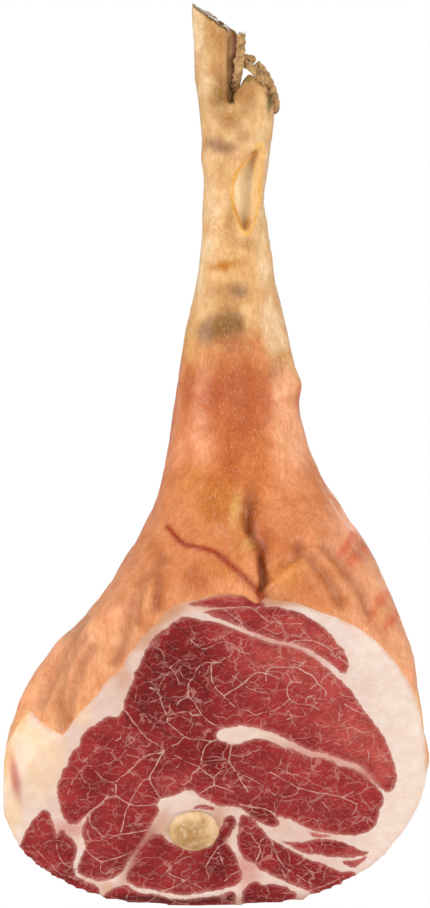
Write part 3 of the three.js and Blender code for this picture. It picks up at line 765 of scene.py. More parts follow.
# Thin fat in the lean, as [half width, points].
VEINS = [
    (1.5, [(-14, 216), (-6, 212), (4, 208.5), (14, 204.5), (25, 200), (35, 196.5), (46, 193),
           (57, 190), (67, 186.5), (76, 181), (83, 174.5), (88, 170), (95, 166)]),
    (1.5, [(32, 125), (44, 122), (54, 117.5), (62, 113.5), (72, 109.5), (84, 107.5), (94, 103.5),
           (101, 101.5), (108, 97), (115, 90), (121, 83)]),
    (1.4, [(-116, 72), (-113.6, 64), (-109, 57.6), (-103.3, 54), (-98.7, 57.6), (-95, 63),
           (-90.3, 68), (-83.8, 72.5), (-78.5, 79)]),
    (0.8, [(-83.8, 72.5), (-80, 77), (-72.7, 79), (-68, 76), (-62.5, 73), (-57, 71.6),
           (-48.5, 72.5), (-43, 73.5)]),
    (1.3, [(-103.3, 54), (-100, 49), (-98.5, 43), (-98.5, 40)]),
    (0.7, [(-98.8, 40), (-101, 32.5), (-103, 25), (-102, 19.5), (-98, 17.3), (-91, 15)]),
    (1.1, [(-63.4, 14), (-59, 10.3), (-52, 8), (-45.7, 7.5), (-34.6, 5.1), (-22.5, 3.7),
           (-6.7, 5.6), (5.4, 7.5), (17.5, 11.5)]),
    (0.8, [(-62.5, 73), (-65.2, 68), (-67, 59.5), (-69, 52)]),
    (0.8, [(-78.3, 47), (-70.5, 50.2), (-59.3, 51.6), (-48.5, 54)]),
    (0.7, [(-90.3, 67), (-92.2, 62.3), (-90.3, 56.7), (-86.6, 54), (-83.8, 50.2), (-78.3, 46.5)]),
    (0.7, [(-95.4, 40), (-90.3, 34.4), (-83.8, 30.2), (-78.3, 31.1), (-68, 34.4), (-60.6, 36.3)]),
    (0.5, [(-83.8, 30.2), (-83.8, 23.2), (-80, 21), (-74, 22.5)]),
    (0.5, [(-78, 24), (-72, 26), (-66, 27.5)]),
    (0.5, [(-126, 43), (-121.9, 45.5), (-116.3, 46), (-109.8, 44.6), (-106, 41)]),
    (0.6, [(-116.3, 50), (-116.3, 46), (-115.4, 37), (-110.8, 28.8), (-103.3, 25)]),
    (0.5, [(-134, 42), (-127.5, 35), (-120, 27.5), (-114, 21), (-105, 18), (-98, 13)]),
    (0.5, [(-58.7, 26), (-51.3, 27.6)]),
    (0.6, [(-36.4, 22.3), (-29, 28.8), (-22, 33), (-16, 35)]),
    (0.6, [(-36.4, 22.3), (-29, 18.6), (-21.6, 15.8), (-9.5, 10.2)]),
    (0.6, [(-21.6, 15.8), (-29, 11.6), (-36.4, 8.8), (-45.7, 7.5)]),
    (0.5, [(-21.6, 15.8), (-16, 21.4), (-11.3, 24.2)]),
    (0.7, [(-7.6, 25), (-2, 34.4), (2.6, 41), (8, 44.5)]),
    (0.6, [(2.6, 37), (4.6, 33), (6.3, 27)]),
    (0.7, [(7, 15), (12, 20), (20, 24)]),
    (0.8, [(-67.4, 143.2), (-63.5, 140), (-59.5, 133.7), (-53.2, 125.8), (-48.4, 121),
           (-43.7, 118), (-36.6, 114)]),
    (0.9, [(-36.6, 114), (-38.2, 111.6), (-46.9, 110), (-54.8, 106), (-61, 99), (-67.4, 94),
           (-72, 89.5), (-72.5, 81)]),
    (0.9, [(-36.6, 114), (-40.6, 107), (-43.7, 100.5), (-47.7, 92.6), (-44.5, 84.7), (-40, 78)]),
    (0.6, [(-47.7, 92.6), (-52.4, 90.3), (-56.3, 84.7), (-58.7, 80.8), (-62.5, 74)]),
    (0.7, [(-88, 97.4), (-81.6, 91.8), (-76, 89.2), (-72, 89.5)]),
    (0.6, [(-63.5, 109.4), (-58.7, 108.6), (-54, 106.8)]),
    (0.5, [(-69, 127), (-69, 122), (-73, 119.5)]),
    (0.5, [(-65, 113.5), (-70, 106)]),
    (0.5, [(-63.5, 98.2), (-58.7, 94)]),
    (0.6, [(-75.3, 84.7), (-79.3, 77.6)]),
    (0.6, [(-29.5, 109.2), (-24, 105.7), (-28.3, 100)]),
    (0.5, [(-23.2, 105.3), (-11.3, 100.5)]),
    (0.8, [(2, 121), (-3.4, 118.7), (-7.4, 114.8), (-9.8, 107), (-11, 100)]),
    (0.8, [(-11, 100), (-16.9, 95), (-17, 90.3)]),
    (0.8, [(-11, 100), (-5, 95), (-1, 91.8), (-0.7, 87)]),
    (0.8, [(-0.7, 87), (-7.4, 83), (-13.7, 80)]),
    (0.7, [(-0.7, 87), (7.6, 84.3), (14, 82)]),
    (0.6, [(-1, 91.8), (2.9, 96.6), (10, 99)]),
    (0.9, [(12.4, 117), (10.8, 110), (10.4, 104.5), (14, 99), (19.5, 89.5), (24, 82)]),
    (0.6, [(10.8, 109.6), (21.8, 108.4), (25.8, 111.6), (32.7, 113.2)]),
    (0.5, [(14, 98.6), (24.2, 92.6), (33, 88)]),
    (0.6, [(-35, 92.6), (-28.7, 90.3), (-23.2, 87), (-22, 84)]),
    (0.5, [(-28.7, 90), (-35, 85.5)]),
    (0.5, [(-23.2, 87), (-17, 91.5)]),
    (0.5, [(-9, 104.5), (7.6, 106)]),
    (0.9, [(-47.5, 159), (-43.6, 157.4), (-40.7, 153.3), (-38.4, 146), (-34.7, 138.4),
           (-34.7, 134), (-29.5, 129), (-22.8, 123.5), (-17.6, 121), (-10, 121), (-2.7, 119.6),
           (2, 121)]),
    (0.6, [(-40.5, 153), (-40, 161.8), (-34, 169.3), (-32.3, 174), (-25, 179.7)]),
    (0.5, [(-32.1, 174), (-28, 167), (-25.8, 161)]),
    (0.8, [(-34.7, 138.4), (-28.8, 140), (-24.3, 141), (-18.4, 141), (-17, 138.8), (-9.4, 138.8)]),
    (0.7, [(-22.8, 123.5), (-25.8, 118.7), (-31, 116)]),
    (0.6, [(-39.2, 132.5), (-34.7, 134)]),
    (0.8, [(-15, 168.2), (-16, 166), (-19.5, 161.8), (-19.5, 153.7), (-22.8, 150.7),
           (-25.8, 149), (-28, 145.5)]),
    (0.8, [(-19.5, 153.7), (-15.4, 148.5), (-10.2, 140.3), (-5.7, 135), (4, 129)]),
    (0.5, [(-8, 147.3), (-0.5, 150.7)]),
    (0.7, [(-17.6, 193.8), (-13, 190), (-8.7, 187.3), (-4, 188.6), (1, 191.2)]),
    (0.6, [(9, 189.3), (14.3, 188), (19.6, 185.3), (25, 184)]),
    (0.9, [(-13.5, 172.2), (-10.2, 175.6), (-5.7, 177.8), (-2.8, 176.3), (-2.7, 169.3),
           (-2.4, 165.6), (1, 158), (6.5, 153.3)]),
    (0.8, [(-2.7, 177.6), (4, 177.8), (6.2, 180.4), (10.6, 182.3)]),
    (0.5, [(4, 177.8), (6.8, 175.6)]),
    (0.9, [(6.5, 153.3), (12, 156.6), (17.3, 160), (21, 162.2), (26.2, 167.8), (31.5, 170.4),
           (37.2, 170), (39.6, 173.8), (50, 174.3), (59.7, 173.8), (65.3, 170.8), (71.3, 167.6),
           (74.5, 162.5)]),
    (0.9, [(36.8, 170), (37.4, 164)]),
    (0.6, [(37.4, 169.6), (47, 165.6)]),
    (0.6, [(31.5, 170.6), (27, 173.7), (23.3, 174.8)]),
    (0.6, [(21, 161.8), (15, 166.3), (12, 168.5)]),
    (0.6, [(21, 161.8), (24, 158.9), (30.7, 156.6), (38, 155)]),
    (0.6, [(6.5, 153.3), (7.3, 147.7)]),
    (0.7, [(8, 151.4), (13.6, 145.5), (19.6, 143), (24.8, 142), (29.2, 138.8), (34.4, 140.6),
           (41.9, 142), (47, 144.4), (53, 149.2)]),
    (0.5, [(29.2, 138.8), (27.5, 136.5), (23.3, 134.3)]),
    (0.8, [(62.6, 163), (55.6, 163), (52.6, 158.5), (53.2, 152.6), (57, 148.8), (62.7, 146.9),
           (69.5, 146.3), (76, 142.3)]),
    (0.5, [(55.5, 163.7), (52.4, 170)]),
    (0.6, [(62.7, 147), (66, 138.8)]),
    (0.6, [(65.8, 147.9), (67.4, 151.8), (71.3, 153)]),
    (0.6, [(53, 142.5), (55.6, 138.8), (55.2, 136.6), (51.5, 135.4)]),
    (0.5, [(55.6, 135.8), (60.4, 129), (66.4, 128.4)]),
    (0.5, [(40.4, 178.2), (46.3, 182), (53, 180), (64.2, 177)]),
    (0.5, [(59.5, 174), (68, 179.5)]),
    (0.7, [(74.5, 162.5), (69, 158)]),
    (0.6, [(74.5, 162.5), (80, 157.3), (80.8, 153.4)]),
    (0.6, [(90.3, 155.8), (92.6, 153.4), (99.7, 151.8)]),
    (0.7, [(94.2, 147), (100.5, 143), (110, 139.4)]),
    (0.6, [(84, 151.8), (87, 149.5), (82.4, 148)]),
    (0.8, [(80, 166.5), (82.4, 169.4), (86, 169.6)]),
    (0.5, [(72, 133), (80, 130), (86, 134)]),
    (0.5, [(92, 128), (100, 130), (108, 126), (114, 128)]),
    (0.5, [(88, 118), (96, 116), (100, 120)]),
    (0.5, [(106, 118), (112, 112), (112, 104)]),
    (0.5, [(118, 116), (122, 108), (128, 104)]),
    (0.5, [(70, 122), (76, 118), (84, 120)]),
    (0.7, [(40, 97), (49.2, 91.8), (55.7, 88), (60.3, 85.3), (72.4, 82), (85.4, 79.7),
           (92.8, 78), (105, 72.8)]),
    (0.6, [(60.3, 85.3), (60.3, 81), (51, 78), (40.8, 81.6), (39.5, 85)]),
    (0.6, [(92.8, 78), (98.4, 81), (102, 83)]),
    (0.6, [(74.3, 81.6), (78, 75), (83.5, 68.6)]),
    (0.7, [(43.6, 74), (44, 66.5)]),
    (1.0, [(18, 72.5), (27, 71), (34, 70), (40, 67.5), (45, 63.5)]),
    (0.5, [(96, 62), (102, 67), (104, 74)]),
    (0.5, [(52, 96), (62, 94), (70, 90)]),
    (0.5, [(-98, 98), (-104, 90), (-108, 80)]),
    (0.5, [(-92, 108), (-98, 104), (-100, 112)]),
    (0.8, [(-8, 215.5), (-2, 217.3), (5, 217.4), (11.5, 217.7), (22, 218.4), (29, 217.4),
           (33, 219)]),
    (0.7, [(4.8, 217.3), (11.5, 212.5), (16.7, 208.8), (22, 202.8)]),
    (0.7, [(27, 217.4), (40.5, 206.3)]),
    (0.6, [(41.3, 208), (51, 206), (64, 206)]),
    (0.7, [(51.6, 191.7), (59.5, 193.7), (69.7, 193.7), (76, 191.3), (85.5, 185.8), (96.6, 176)]),
    (0.6, [(61.8, 202.4), (68, 196.8), (71.3, 193.7)]),
    (0.5, [(84, 183.4), (95.8, 177)]),
    (0.5, [(36, 203), (44, 199), (51, 201)]),
    (0.8, [(25, 51.8), (29, 46), (32.4, 40)]),
    (1.0, [(38.5, 49), (34.3, 46.3), (32.4, 41.6), (33.4, 38), (30.6, 31.4), (28.7, 26)]),
    (0.8, [(41.3, 46.5), (43.5, 40), (44.5, 36.5), (50, 27), (55.7, 23)]),
    (0.6, [(44.5, 36.5), (48.5, 38)]),
    (0.6, [(64, 34.2), (65.4, 31.4), (59.4, 27.7)]),
    (0.6, [(64, 28.6), (68.7, 24), (72.4, 22)]),
    (0.6, [(82.6, 26.8), (79.8, 19.3), (80.8, 15.6)]),
    (0.6, [(68.7, 8.2), (82.6, 12.8), (94.7, 19.3)]),
    (1.2, [(49.2, 24), (52, 17.5)]),
    (0.6, [(60, 20), (66, 16), (72, 13)]),
    (0.6, [(66, 45), (70, 41), (72.4, 36.6)]),
    (1.3, [(17, 64), (15.7, 54.6), (15, 46), (15.3, 39.8), (18.5, 33), (22, 27), (26, 22)]),
    (1.3, [(26, 22), (31.5, 21.2), (42.7, 17.4), (52, 13.6), (63, 9.1), (69, 7)]),
    (1.4, [(26, 22), (21.6, 17.5), (19.2, 10), (16.4, 1)]),
    (1.2, [(20, 20), (25, 16), (30, 17.6)]),
]
# Dark marks that the knife left along the lean's fibres.
CRACKS = [
    [(-33, 208.8), (-28, 204.5), (-23.5, 200.6), (-19.8, 198.4)],
    [(-36, 191), (-32, 188.5), (-27.9, 185)],
    [(-24.3, 179), (-22, 172.2), (-16, 166.3), (-10.2, 162.6), (-5, 153.7)],
    [(-8.7, 186.4), (-5.5, 183), (-2.9, 178.2)],
    [(-57.7, 170), (-50.2, 164.2), (-45, 159.5), (-41.3, 155.2)],
    [(-39.2, 153.7), (-33.2, 149.2), (-28, 145.5), (-22.8, 142.5), (-19, 141)],
    [(-63.6, 156.7), (-57.7, 150), (-54.8, 145.6), (-46.9, 136), (-35.8, 125.8), (-26.3, 119.5)],
    [(-66.6, 141.6), (-62, 133), (-57, 129.8)],
    [(-50, 178), (-44, 171), (-38, 167)],
    [(-42, 186), (-36, 178)],
]

# ---- Tints. The marks are x, z, half width, half height, turn, tint and share. ----

CREAM, STRAW, GOLD, TAN = "fadab0", "f2c48c", "dcac6c", "bc8a54"
UMBER, OLIVE, BRUISE, AMBER = "94642e", "906638", "a07658", "c47a2c"
OCHRE, HONEY_SKIN = "c6783c", "dc9050"
BLUSH, ROSE, PEACH, TERRACOTTA = "fcb88c", "f4a880", "e4966a", "ce7a48"
BRICK, RUSSET, OXBLOOD, GRAZE = "b86238", "a45a30", "8a3e22", "e06848"
# The darker green of these two is painted shadow, for the gap between the heel lobe and the rope.
ROPE_GAP_SHADOW, MOSS = "404620", "7c783c"
VEIN_RED, TORN_TINT, SLIT_LIP = "982c1a", "e3c48c", "ecb65e"

SKIN_BY_HEIGHT = [
    (0, "f0b488"), (150, "ecaa7c"), (190, "eca87c"), (240, "de9060"), (320, "d88250"),
    (370, "cc7450"), (400, "d6905c"), (425, "e4b07a"), (460, "eebc82"), (500, "f3c790"),
    (540, "efc290"), (580, "e3b681"), (620, "deb07a"), (640, "e4b880"), (660, "dcae74"),
]
SKIN_MARKS = [
    # The shank's end and the heel, with painted light and shade: a highlight down the shank's left, shade
    # in its middle, shadow beside the gap's foot, shade and light on the heel's left and right, and shadow
    # between the heel and the rope.
    (-14, 638, 6, 24, 0, CREAM, 0.85), (3, 634, 9, 17, 0, TAN, 0.7),
    (4, 594, 6, 14, 0, UMBER, 0.85), (-9, 598, 5, 14, 0, CREAM, 0.6),
    (-6, 580, 6, 8, 0, GOLD, 0.35), (10, 572, 7, 6, 0, TAN, 0.75),
    (24, 589, 6, 12, 0, TAN, 0.75), (34, 590, 5, 8, 0, STRAW, 0.5),
    (38, 574, 6, 10, 0, STRAW, 0.8), (28, 571, 6, 5, 0, STRAW, 0.6),
    (40.5, 590, 2.5, 9, 0, ROPE_GAP_SHADOW, 0.9), (24.5, 604, 4, 2.5, 0, MOSS, 0.7),
    (4, 553, 11, 5, -5, BRUISE, 0.9), (20, 562, 6, 5, 0, TAN, 0.7),
    # Beside and below the slit. The tan mark down the slit's left is painted shade, and the cream marks
    # along the shank's left and right are painted highlight.
    (5, 538, 9, 6, 0, GOLD, 0.5), (10, 530, 5, 5, 0, GOLD, 0.7),
    (37, 548, 5, 9, 0, CREAM, 0.6), (36, 500, 5, 22, 0, CREAM, 0.5),
    (12, 500, 4, 18, 0, TAN, 0.55), (-2, 506, 6, 10, 0, CREAM, 0.5),
    (24, 482, 7, 6, 0, TAN, 0.55), (-6, 479, 5, 9, 0, CREAM, 0.75),
    (6, 467, 8, 5, 5, AMBER, 0.95), (16, 468, 6, 4, 0, AMBER, 0.5),
    (-10, 455, 4, 16, 0, CREAM, 0.8), (36, 461, 6, 9, 0, CREAM, 0.65),
    (9, 447, 10, 6, 0, TAN, 0.75), (18, 449, 6, 5, 0, BRUISE, 0.85),
    (10, 437, 8, 5, 0, TAN, 0.7), (0, 440, 5, 5, 0, GOLD, 0.6),
    # The dark stain and what lies round it. The cream marks to its right are painted highlight.
    (-13, 432, 6, 12, 0, STRAW, 0.5), (-3, 417, 9, 9, 0, BRUISE, 0.9),
    (7, 421, 11, 9, 0, OLIVE, 0.95), (14, 426, 7, 8, 0, OLIVE, 0.85),
    (11, 409, 9, 7, 0, RUSSET, 0.7), (26, 434, 7, 6, 0, STRAW, 0.5),
    (41, 426, 8, 16, 0, CREAM, 0.7), (31, 408, 6, 9, 0, TERRACOTTA, 0.6),
    (47, 410, 7, 9, 0, CREAM, 0.6), (-18, 412, 5, 14, 0, GOLD, 0.5),
    (50, 399, 5, 5, 0, GOLD, 0.6), (48, 392, 6, 11, 0, OLIVE, 0.4),
    (57, 390, 6, 12, 0, STRAW, 0.7),
    # The red middle of the leg, with its paler sides.
    (15, 386, 15, 13, 0, BRICK, 0.85), (12, 366, 13, 26, 0, BRICK, 0.85),
    (28, 358, 11, 32, 0, BRICK, 0.7), (-1, 365, 5, 22, 0, BRICK, 0.35),
    (-12, 352, 7, 20, 0, PEACH, 0.65), (-25, 356, 6, 26, 0, PEACH, 0.6),
    (-19, 374, 4, 16, 0, BRICK, 0.6), (51, 374, 8, 18, 0, BLUSH, 0.8),
    (50, 344, 11, 22, 0, BLUSH, 0.85), (61, 336, 7, 18, 0, BLUSH, 0.8),
    (-11, 334, 8, 12, 0, ROSE, 0.85), (-28, 328, 6, 12, 0, ROSE, 0.5),
    (13, 330, 9, 18, 0, BRICK, 0.8), (32, 325, 8, 16, 0, TERRACOTTA, 0.6),
    (14, 314, 7, 12, 0, BRICK, 0.7), (24, 306, 7, 11, 0, TERRACOTTA, 0.6),
    (56, 317, 10, 14, 0, ROSE, 0.75), (68, 311, 5, 12, 0, PEACH, 0.5),
    (-16, 313, 9, 10, 0, HONEY_SKIN, 0.5),
    # Round the crease and under the drawn vein. The russet and oxblood marks along the crease are painted
    # shade.
    (1, 300, 10, 15, 0, OCHRE, 0.7), (-6, 294, 7, 10, 0, OCHRE, 0.7),
    (-28, 285, 8, 10, 0, PEACH, 0.55), (-44, 275, 10, 14, 25, PEACH, 0.5),
    (9, 281, 17, 18, 0, OCHRE, 0.6), (16, 286, 4, 16, 0, GOLD, 0.6),
    (27, 291, 6, 16, 0, RUSSET, 0.8), (26, 273, 4, 10, 0, RUSSET, 0.85),
    (35, 259, 4, 12, 0, OXBLOOD, 0.95), (36, 246, 4, 10, 0, OXBLOOD, 0.85),
    (40, 273, 7, 10, 0, BRICK, 0.8), (38, 256, 7, 8, 0, RUSSET, 0.7),
    (50, 264, 8, 14, 0, TERRACOTTA, 0.8), (48, 284, 9, 18, 10, PEACH, 0.55),
    (52, 240, 13, 11, 0, HONEY_SKIN, 0.75), (62, 230, 16, 6, 10, TERRACOTTA, 0.6),
    (71, 237, 11, 9, 0, TERRACOTTA, 0.75), (80, 222, 18, 7, -10, TERRACOTTA, 0.8),
    (-46, 261, 8, 12, 30, TERRACOTTA, 0.7), (-50, 250, 6, 22, 30, PEACH, 0.4),
    (-16, 241, 12, 12, 0, BRICK, 0.75), (3, 248, 14, 9, -20, OCHRE, 0.65),
    (21, 262, 7, 12, -15, OCHRE, 0.6), (24.5, 266, 3, 8, -20, GOLD, 0.6),
    (12, 233, 8, 5, 0, PEACH, 0.6), (-38, 232, 7, 9, 0, TERRACOTTA, 0.7),
    # The left shoulder.
    (-60, 236, 11, 9, 0, PEACH, 0.6), (-76, 231, 9, 8, 0, PEACH, 0.6),
    (-75, 212, 8, 8, 0, ROSE, 0.6), (-62, 219, 5, 8, 0, ROSE, 0.6),
    (-53, 207, 7, 6, 0, TERRACOTTA, 0.6), (-42, 222, 4, 8, 0, BRICK, 0.8),
    (-92, 199, 9, 9, 0, BLUSH, 0.65), (-113, 186, 6, 9, 0, BLUSH, 0.7),
    (-95, 181, 6, 9, 0, ROSE, 0.65), (-72, 181, 8, 8, 0, PEACH, 0.5),
    (-126, 169, 6, 10, 0, ROSE, 0.7), (-104, 164, 5, 9, 0, ROSE, 0.5),
    (-86, 166, 5, 10, 0, PEACH, 0.5), (-136, 151, 6, 8, 0, ROSE, 0.7),
    (-99, 149, 5, 7, 0, PEACH, 0.5), (-110, 140, 4, 14, 20, TERRACOTTA, 0.5),
    # The right shoulder, with its grazes.
    (68, 281, 12, 13, 0, PEACH, 0.55), (90, 274, 13, 13, 0, ROSE, 0.7),
    (98, 268, 9, 16, 30, ROSE, 0.6), (70, 258, 13, 11, 0, PEACH, 0.55),
    (106, 258, 6, 16, -28, BRICK, 0.65), (97, 264, 3, 12, -32, GRAZE, 0.85),
    (104, 254, 3.5, 10, -38, GRAZE, 0.8), (121, 224, 3.5, 17, -30, GRAZE, 0.8),
    (129, 210, 3, 9, -28, GRAZE, 0.75), (104, 238, 9, 11, 0, ROSE, 0.6),
    (115, 240, 7, 16, 30, BLUSH, 0.6), (124, 238, 5, 9, -30, BLUSH, 0.7),
    (114, 222, 5, 8, 0, ROSE, 0.6), (135, 198, 6, 14, -20, ROSE, 0.7),
    (143, 166, 5, 18, -15, ROSE, 0.7), (148, 148, 4, 10, 0, STRAW, 0.7),
]
MILK, BUTTER, PEARL, TALLOW = "f6e2d2", "fcc888", "fbd8b2", "e4c2b4"
SEAM, FLESH, RUDDY, TOAST = "da9e92", "c6766a", "b06858", "d09672"
FAT_BASE = "f1dbcf"
FAT_MARKS = [
    (-20, 120, 90, 90, 0, TALLOW, 0.85), (60, 80, 50, 70, 0, TALLOW, 0.75),
    # The left side, yellow at its rim.
    (-146, 138, 11, 13, 0, BUTTER, 0.95), (-135, 122, 14, 9, 0, PEARL, 0.8),
    (-154, 106, 8, 18, 0, BUTTER, 0.85), (-148, 70, 8, 22, 0, PEARL, 0.8),
    (-128, 98, 14, 22, 0, PEARL, 0.7), (-119, 72, 6, 9, 0, TALLOW, 0.7),
    (-116, 112, 8, 12, 0, PEARL, 0.6), (-97, 140, 8, 8, 45, PEARL, 0.6),
    (-146, 92, 3.4, 16, 10, FLESH, 0.85),
    # Along the top of the cut.
    (-80, 152, 8, 8, 45, TALLOW, 0.5), (-67, 168, 7, 12, 0, TOAST, 0.5),
    (-48, 197, 12, 8, 45, TOAST, 0.7), (-32, 215, 14, 7, 35, TOAST, 0.9),
    (-5, 222, 16, 6, 0, TOAST, 0.85), (40, 222, 26, 4, 0, TOAST, 0.85),
    # The right side.
    (112, 184, 14, 14, 0, MILK, 0.7), (130, 150, 12, 18, 0, MILK, 0.85),
    (147, 122, 9, 22, 0, MILK, 0.95), (135, 128, 8, 14, 0, MILK, 0.7),
    (141, 85, 12, 26, 0, MILK, 0.85), (128, 50, 16, 18, 0, MILK, 0.75),
    (118, 92, 5, 5, 0, FLESH, 0.7),
    # Between the muscles and round the ball.
    (18, 125, 22, 7, 0, MILK, 0.6), (-30, 77, 14, 8, 0, MILK, 0.6),
    (-40, 56, 5, 12, 0, MILK, 0.6), (3, 60, 5, 12, 0, TOAST, 0.7),
    (6, 46, 4, 6, 0, RUDDY, 0.8), (-80, 10, 8, 5, 0, TOAST, 0.6),
    (50, 0, 60, 5, 0, RUDDY, 0.7), (-112, 6, 24, 6, 30, SEAM, 0.7),
    (-54, 38, 26, 6, 61, RUDDY, 0.9), (-38, 55, 5, 10, 0, TOAST, 0.6),
    (24, 25, 9, 14, 0, SEAM, 0.85), (50, 191, 34, 6, -22, SEAM, 0.85),
    (82, 108, 34, 6, -14, SEAM, 0.9), (112, 94, 9, 9, 0, FLESH, 0.85),
    (-108, 54, 14, 7, 0, SEAM, 0.85), (-84, 72, 16, 8, 30, SEAM, 0.7),
    (86, 30, 18, 5, -10, TALLOW, 0.5),
]
LEAN_BASE = "9c4040"
LEAN_DEEPER = np.array((0.97, 0.8, 0.82))  # what the fine fat in the lean adds back
WINE, MAROON, GARNET, CHERRY = "772a2c", "883436", "984242", "ab4845"
CORAL, SALMON, DRIED = "bd5d55", "cc6a5e", "602829"
LEAN_MARKS = [
    # The dark heart of the upper muscle, and its paler right side.
    (-26, 172, 27, 26, 0, WINE, 0.92), (-42, 146, 20, 18, 0, WINE, 0.8),
    (-14, 140, 20, 20, 0, MAROON, 0.8), (-18, 192, 15, 12, 0, MAROON, 0.65),
    (4, 200, 12, 8, 0, CHERRY, 0.75), (22, 192, 12, 8, 0, CHERRY, 0.7),
    (42, 180, 22, 12, 0, CORAL, 0.85), (62, 174, 18, 12, 0, CORAL, 0.85),
    (82, 158, 18, 14, 0, CORAL, 0.8), (50, 147, 22, 14, 0, CHERRY, 0.7),
    (72, 138, 14, 16, 0, CHERRY, 0.7), (92, 134, 16, 16, 0, CORAL, 0.85),
    (106, 122, 16, 20, 0, CORAL, 0.9), (123, 104, 9, 16, 0, SALMON, 0.85),
    (34, 136, 26, 8, 0, CHERRY, 0.7),
    # The strips at the top.
    (18, 214, 24, 5, 0, CHERRY, 0.8), (52, 205, 18, 7, 0, CORAL, 0.85),
    (76, 194, 14, 9, 0, SALMON, 0.75), (90, 180, 8, 10, 0, CORAL, 0.65),
    (12, 225, 18, 4, 0, CORAL, 0.9),
    # The left lobe.
    (-82, 130, 14, 9, 0, CHERRY, 0.55), (-92, 113, 12, 10, 0, CHERRY, 0.5),
    (-74, 110, 12, 14, 0, MAROON, 0.65), (-104, 95, 10, 9, 0, CHERRY, 0.7),
    (-91, 88, 12, 11, 0, MAROON, 0.8), (-110, 79, 8, 9, 0, CHERRY, 0.75),
    (-60, 99, 12, 10, 0, CHERRY, 0.5), (-40, 101, 11, 12, 0, MAROON, 0.6),
    (-60, 50, 9, 12, 0, MAROON, 0.65), (-84, 28, 14, 11, 0, GARNET, 0.6),
    (-68, 32, 8, 9, 0, MAROON, 0.7),
    # The middle.
    (-20, 112, 14, 12, 0, MAROON, 0.7), (0, 108, 13, 14, 0, WINE, 0.8),
    (-30, 90, 12, 7, 0, CORAL, 0.4), (50, 105, 14, 9, 0, CHERRY, 0.65),
    (70, 95, 12, 10, 0, CHERRY, 0.75), (90, 85, 13, 9, 0, CHERRY, 0.5),
    (110, 80, 10, 12, 0, CHERRY, 0.7), (78, 64, 14, 9, 0, GARNET, 0.6),
    (60, 76, 12, 10, 0, GARNET, 0.6), (18, 88, 13, 12, 0, GARNET, 0.7),
    (35, 75, 9, 5, 0, MAROON, 0.6), (31, 66, 12, 4, 0, WINE, 0.9),
    (43, 60, 5, 4, 0, MAROON, 0.9), (11, 58, 6, 7, 0, MAROON, 0.8),
    # The lower left.
    (-130, 46, 8, 12, 0, CHERRY, 0.5), (-118, 48, 9, 9, 0, GARNET, 0.6),
    (-104, 32, 9, 14, 0, MAROON, 0.75), (-110, 16, 12, 7, 0, WINE, 0.6),
    # Under and beside the ball.
    (-40, 40, 10, 7, 0, MAROON, 0.5), (-50, 24, 9, 9, 0, MAROON, 0.7),
    (-30, 20, 13, 7, 0, CHERRY, 0.4), (2, 28, 13, 13, 0, WINE, 0.9),
    (4, 47, 6, 6, 0, WINE, 0.9), (25, 41, 7, 9, 0, MAROON, 0.75),
    (46, 41, 10, 7, 0, MAROON, 0.75), (56, 29, 12, 8, 0, MAROON, 0.75),
    (70, 20, 12, 7, 0, MAROON, 0.65), (38, 8, 18, 6, 0, MAROON, 0.8),
    (62, 40, 9, 3, -5, CHERRY, 0.9), (86, 42.5, 12, 3, -4, MAROON, 0.95),
    (102, 38, 7, 3, 0, CORAL, 0.8), (74, 51, 8, 2, 0, SALMON, 0.95),
    (103, 32, 7, 3, 0, CORAL, 0.85), (-25, 2, 70, 4, 0, DRIED, 0.97),
]
IVORY, BISCUIT, HORN = "f2d2aa", "dcb47e", "b98a52"
BONE_BASE = "d9b07c"
BONE_MARKS = [
    (-28, 62, 7, 6, 0, IVORY, 0.9), (-18, 65, 9, 4, 0, IVORY, 0.7), (-8, 63, 7, 4, 0, BISCUIT, 0.85),
    (0, 60, 5, 8, 0, IVORY, 0.9), (-31, 53, 4, 8, 0, BISCUIT, 0.85), (-22, 55, 7, 5, 15, HORN, 0.95),
    (-13, 53, 6, 5, 0, HORN, 0.95), (-20, 46, 8, 5, 0, HORN, 0.85), (-9, 47, 6, 5, 0, BISCUIT, 0.6),
    (-2, 50, 5, 6, 0, BISCUIT, 0.7), (-12, 42, 8, 3, 0, HORN, 0.6),
]

# Places of the skin's shape, as x and z lines.
VEIN_RIDGE = [
    (-34, 276), (-30, 271), (-24, 265), (-16, 262), (-8, 260.5), (0, 258), (10, 250), (20, 241),
    (28, 233), (34, 226),
]
CREASE = [
    (22.5, 306), (22.5, 298), (21.4, 290), (20.4, 279), (25.6, 267), (30.5, 256), (32.5, 242),
    (32, 232), (34.6, 225),
]
PAD_EDGE = [(33, 229), (43.4, 240), (53.9, 248.5), (61.2, 253), (64, 262)]
FOLDS = [
    [(-96, 212), (-104, 198), (-111, 182), (-119, 165), (-128, 146)],
    [(-97, 196), (-105, 184), (-111, 168), (-114, 150), (-112, 129)],
    [(-90, 188), (-97, 176), (-103, 160), (-107, 144), (-107, 134)],
    [(-62, 222), (-64, 206), (-66, 190), (-72, 176)],
    [(-42, 244), (-41, 232), (-44, 216)],
    [(-52, 236), (-56, 222), (-58, 206)],
    [(-38, 254), (-48, 242), (-56, 236)],
    [(60, 262), (72, 250), (84, 238), (92, 222)],
    [(80, 262), (92, 250), (104, 234), (112, 216)],
]

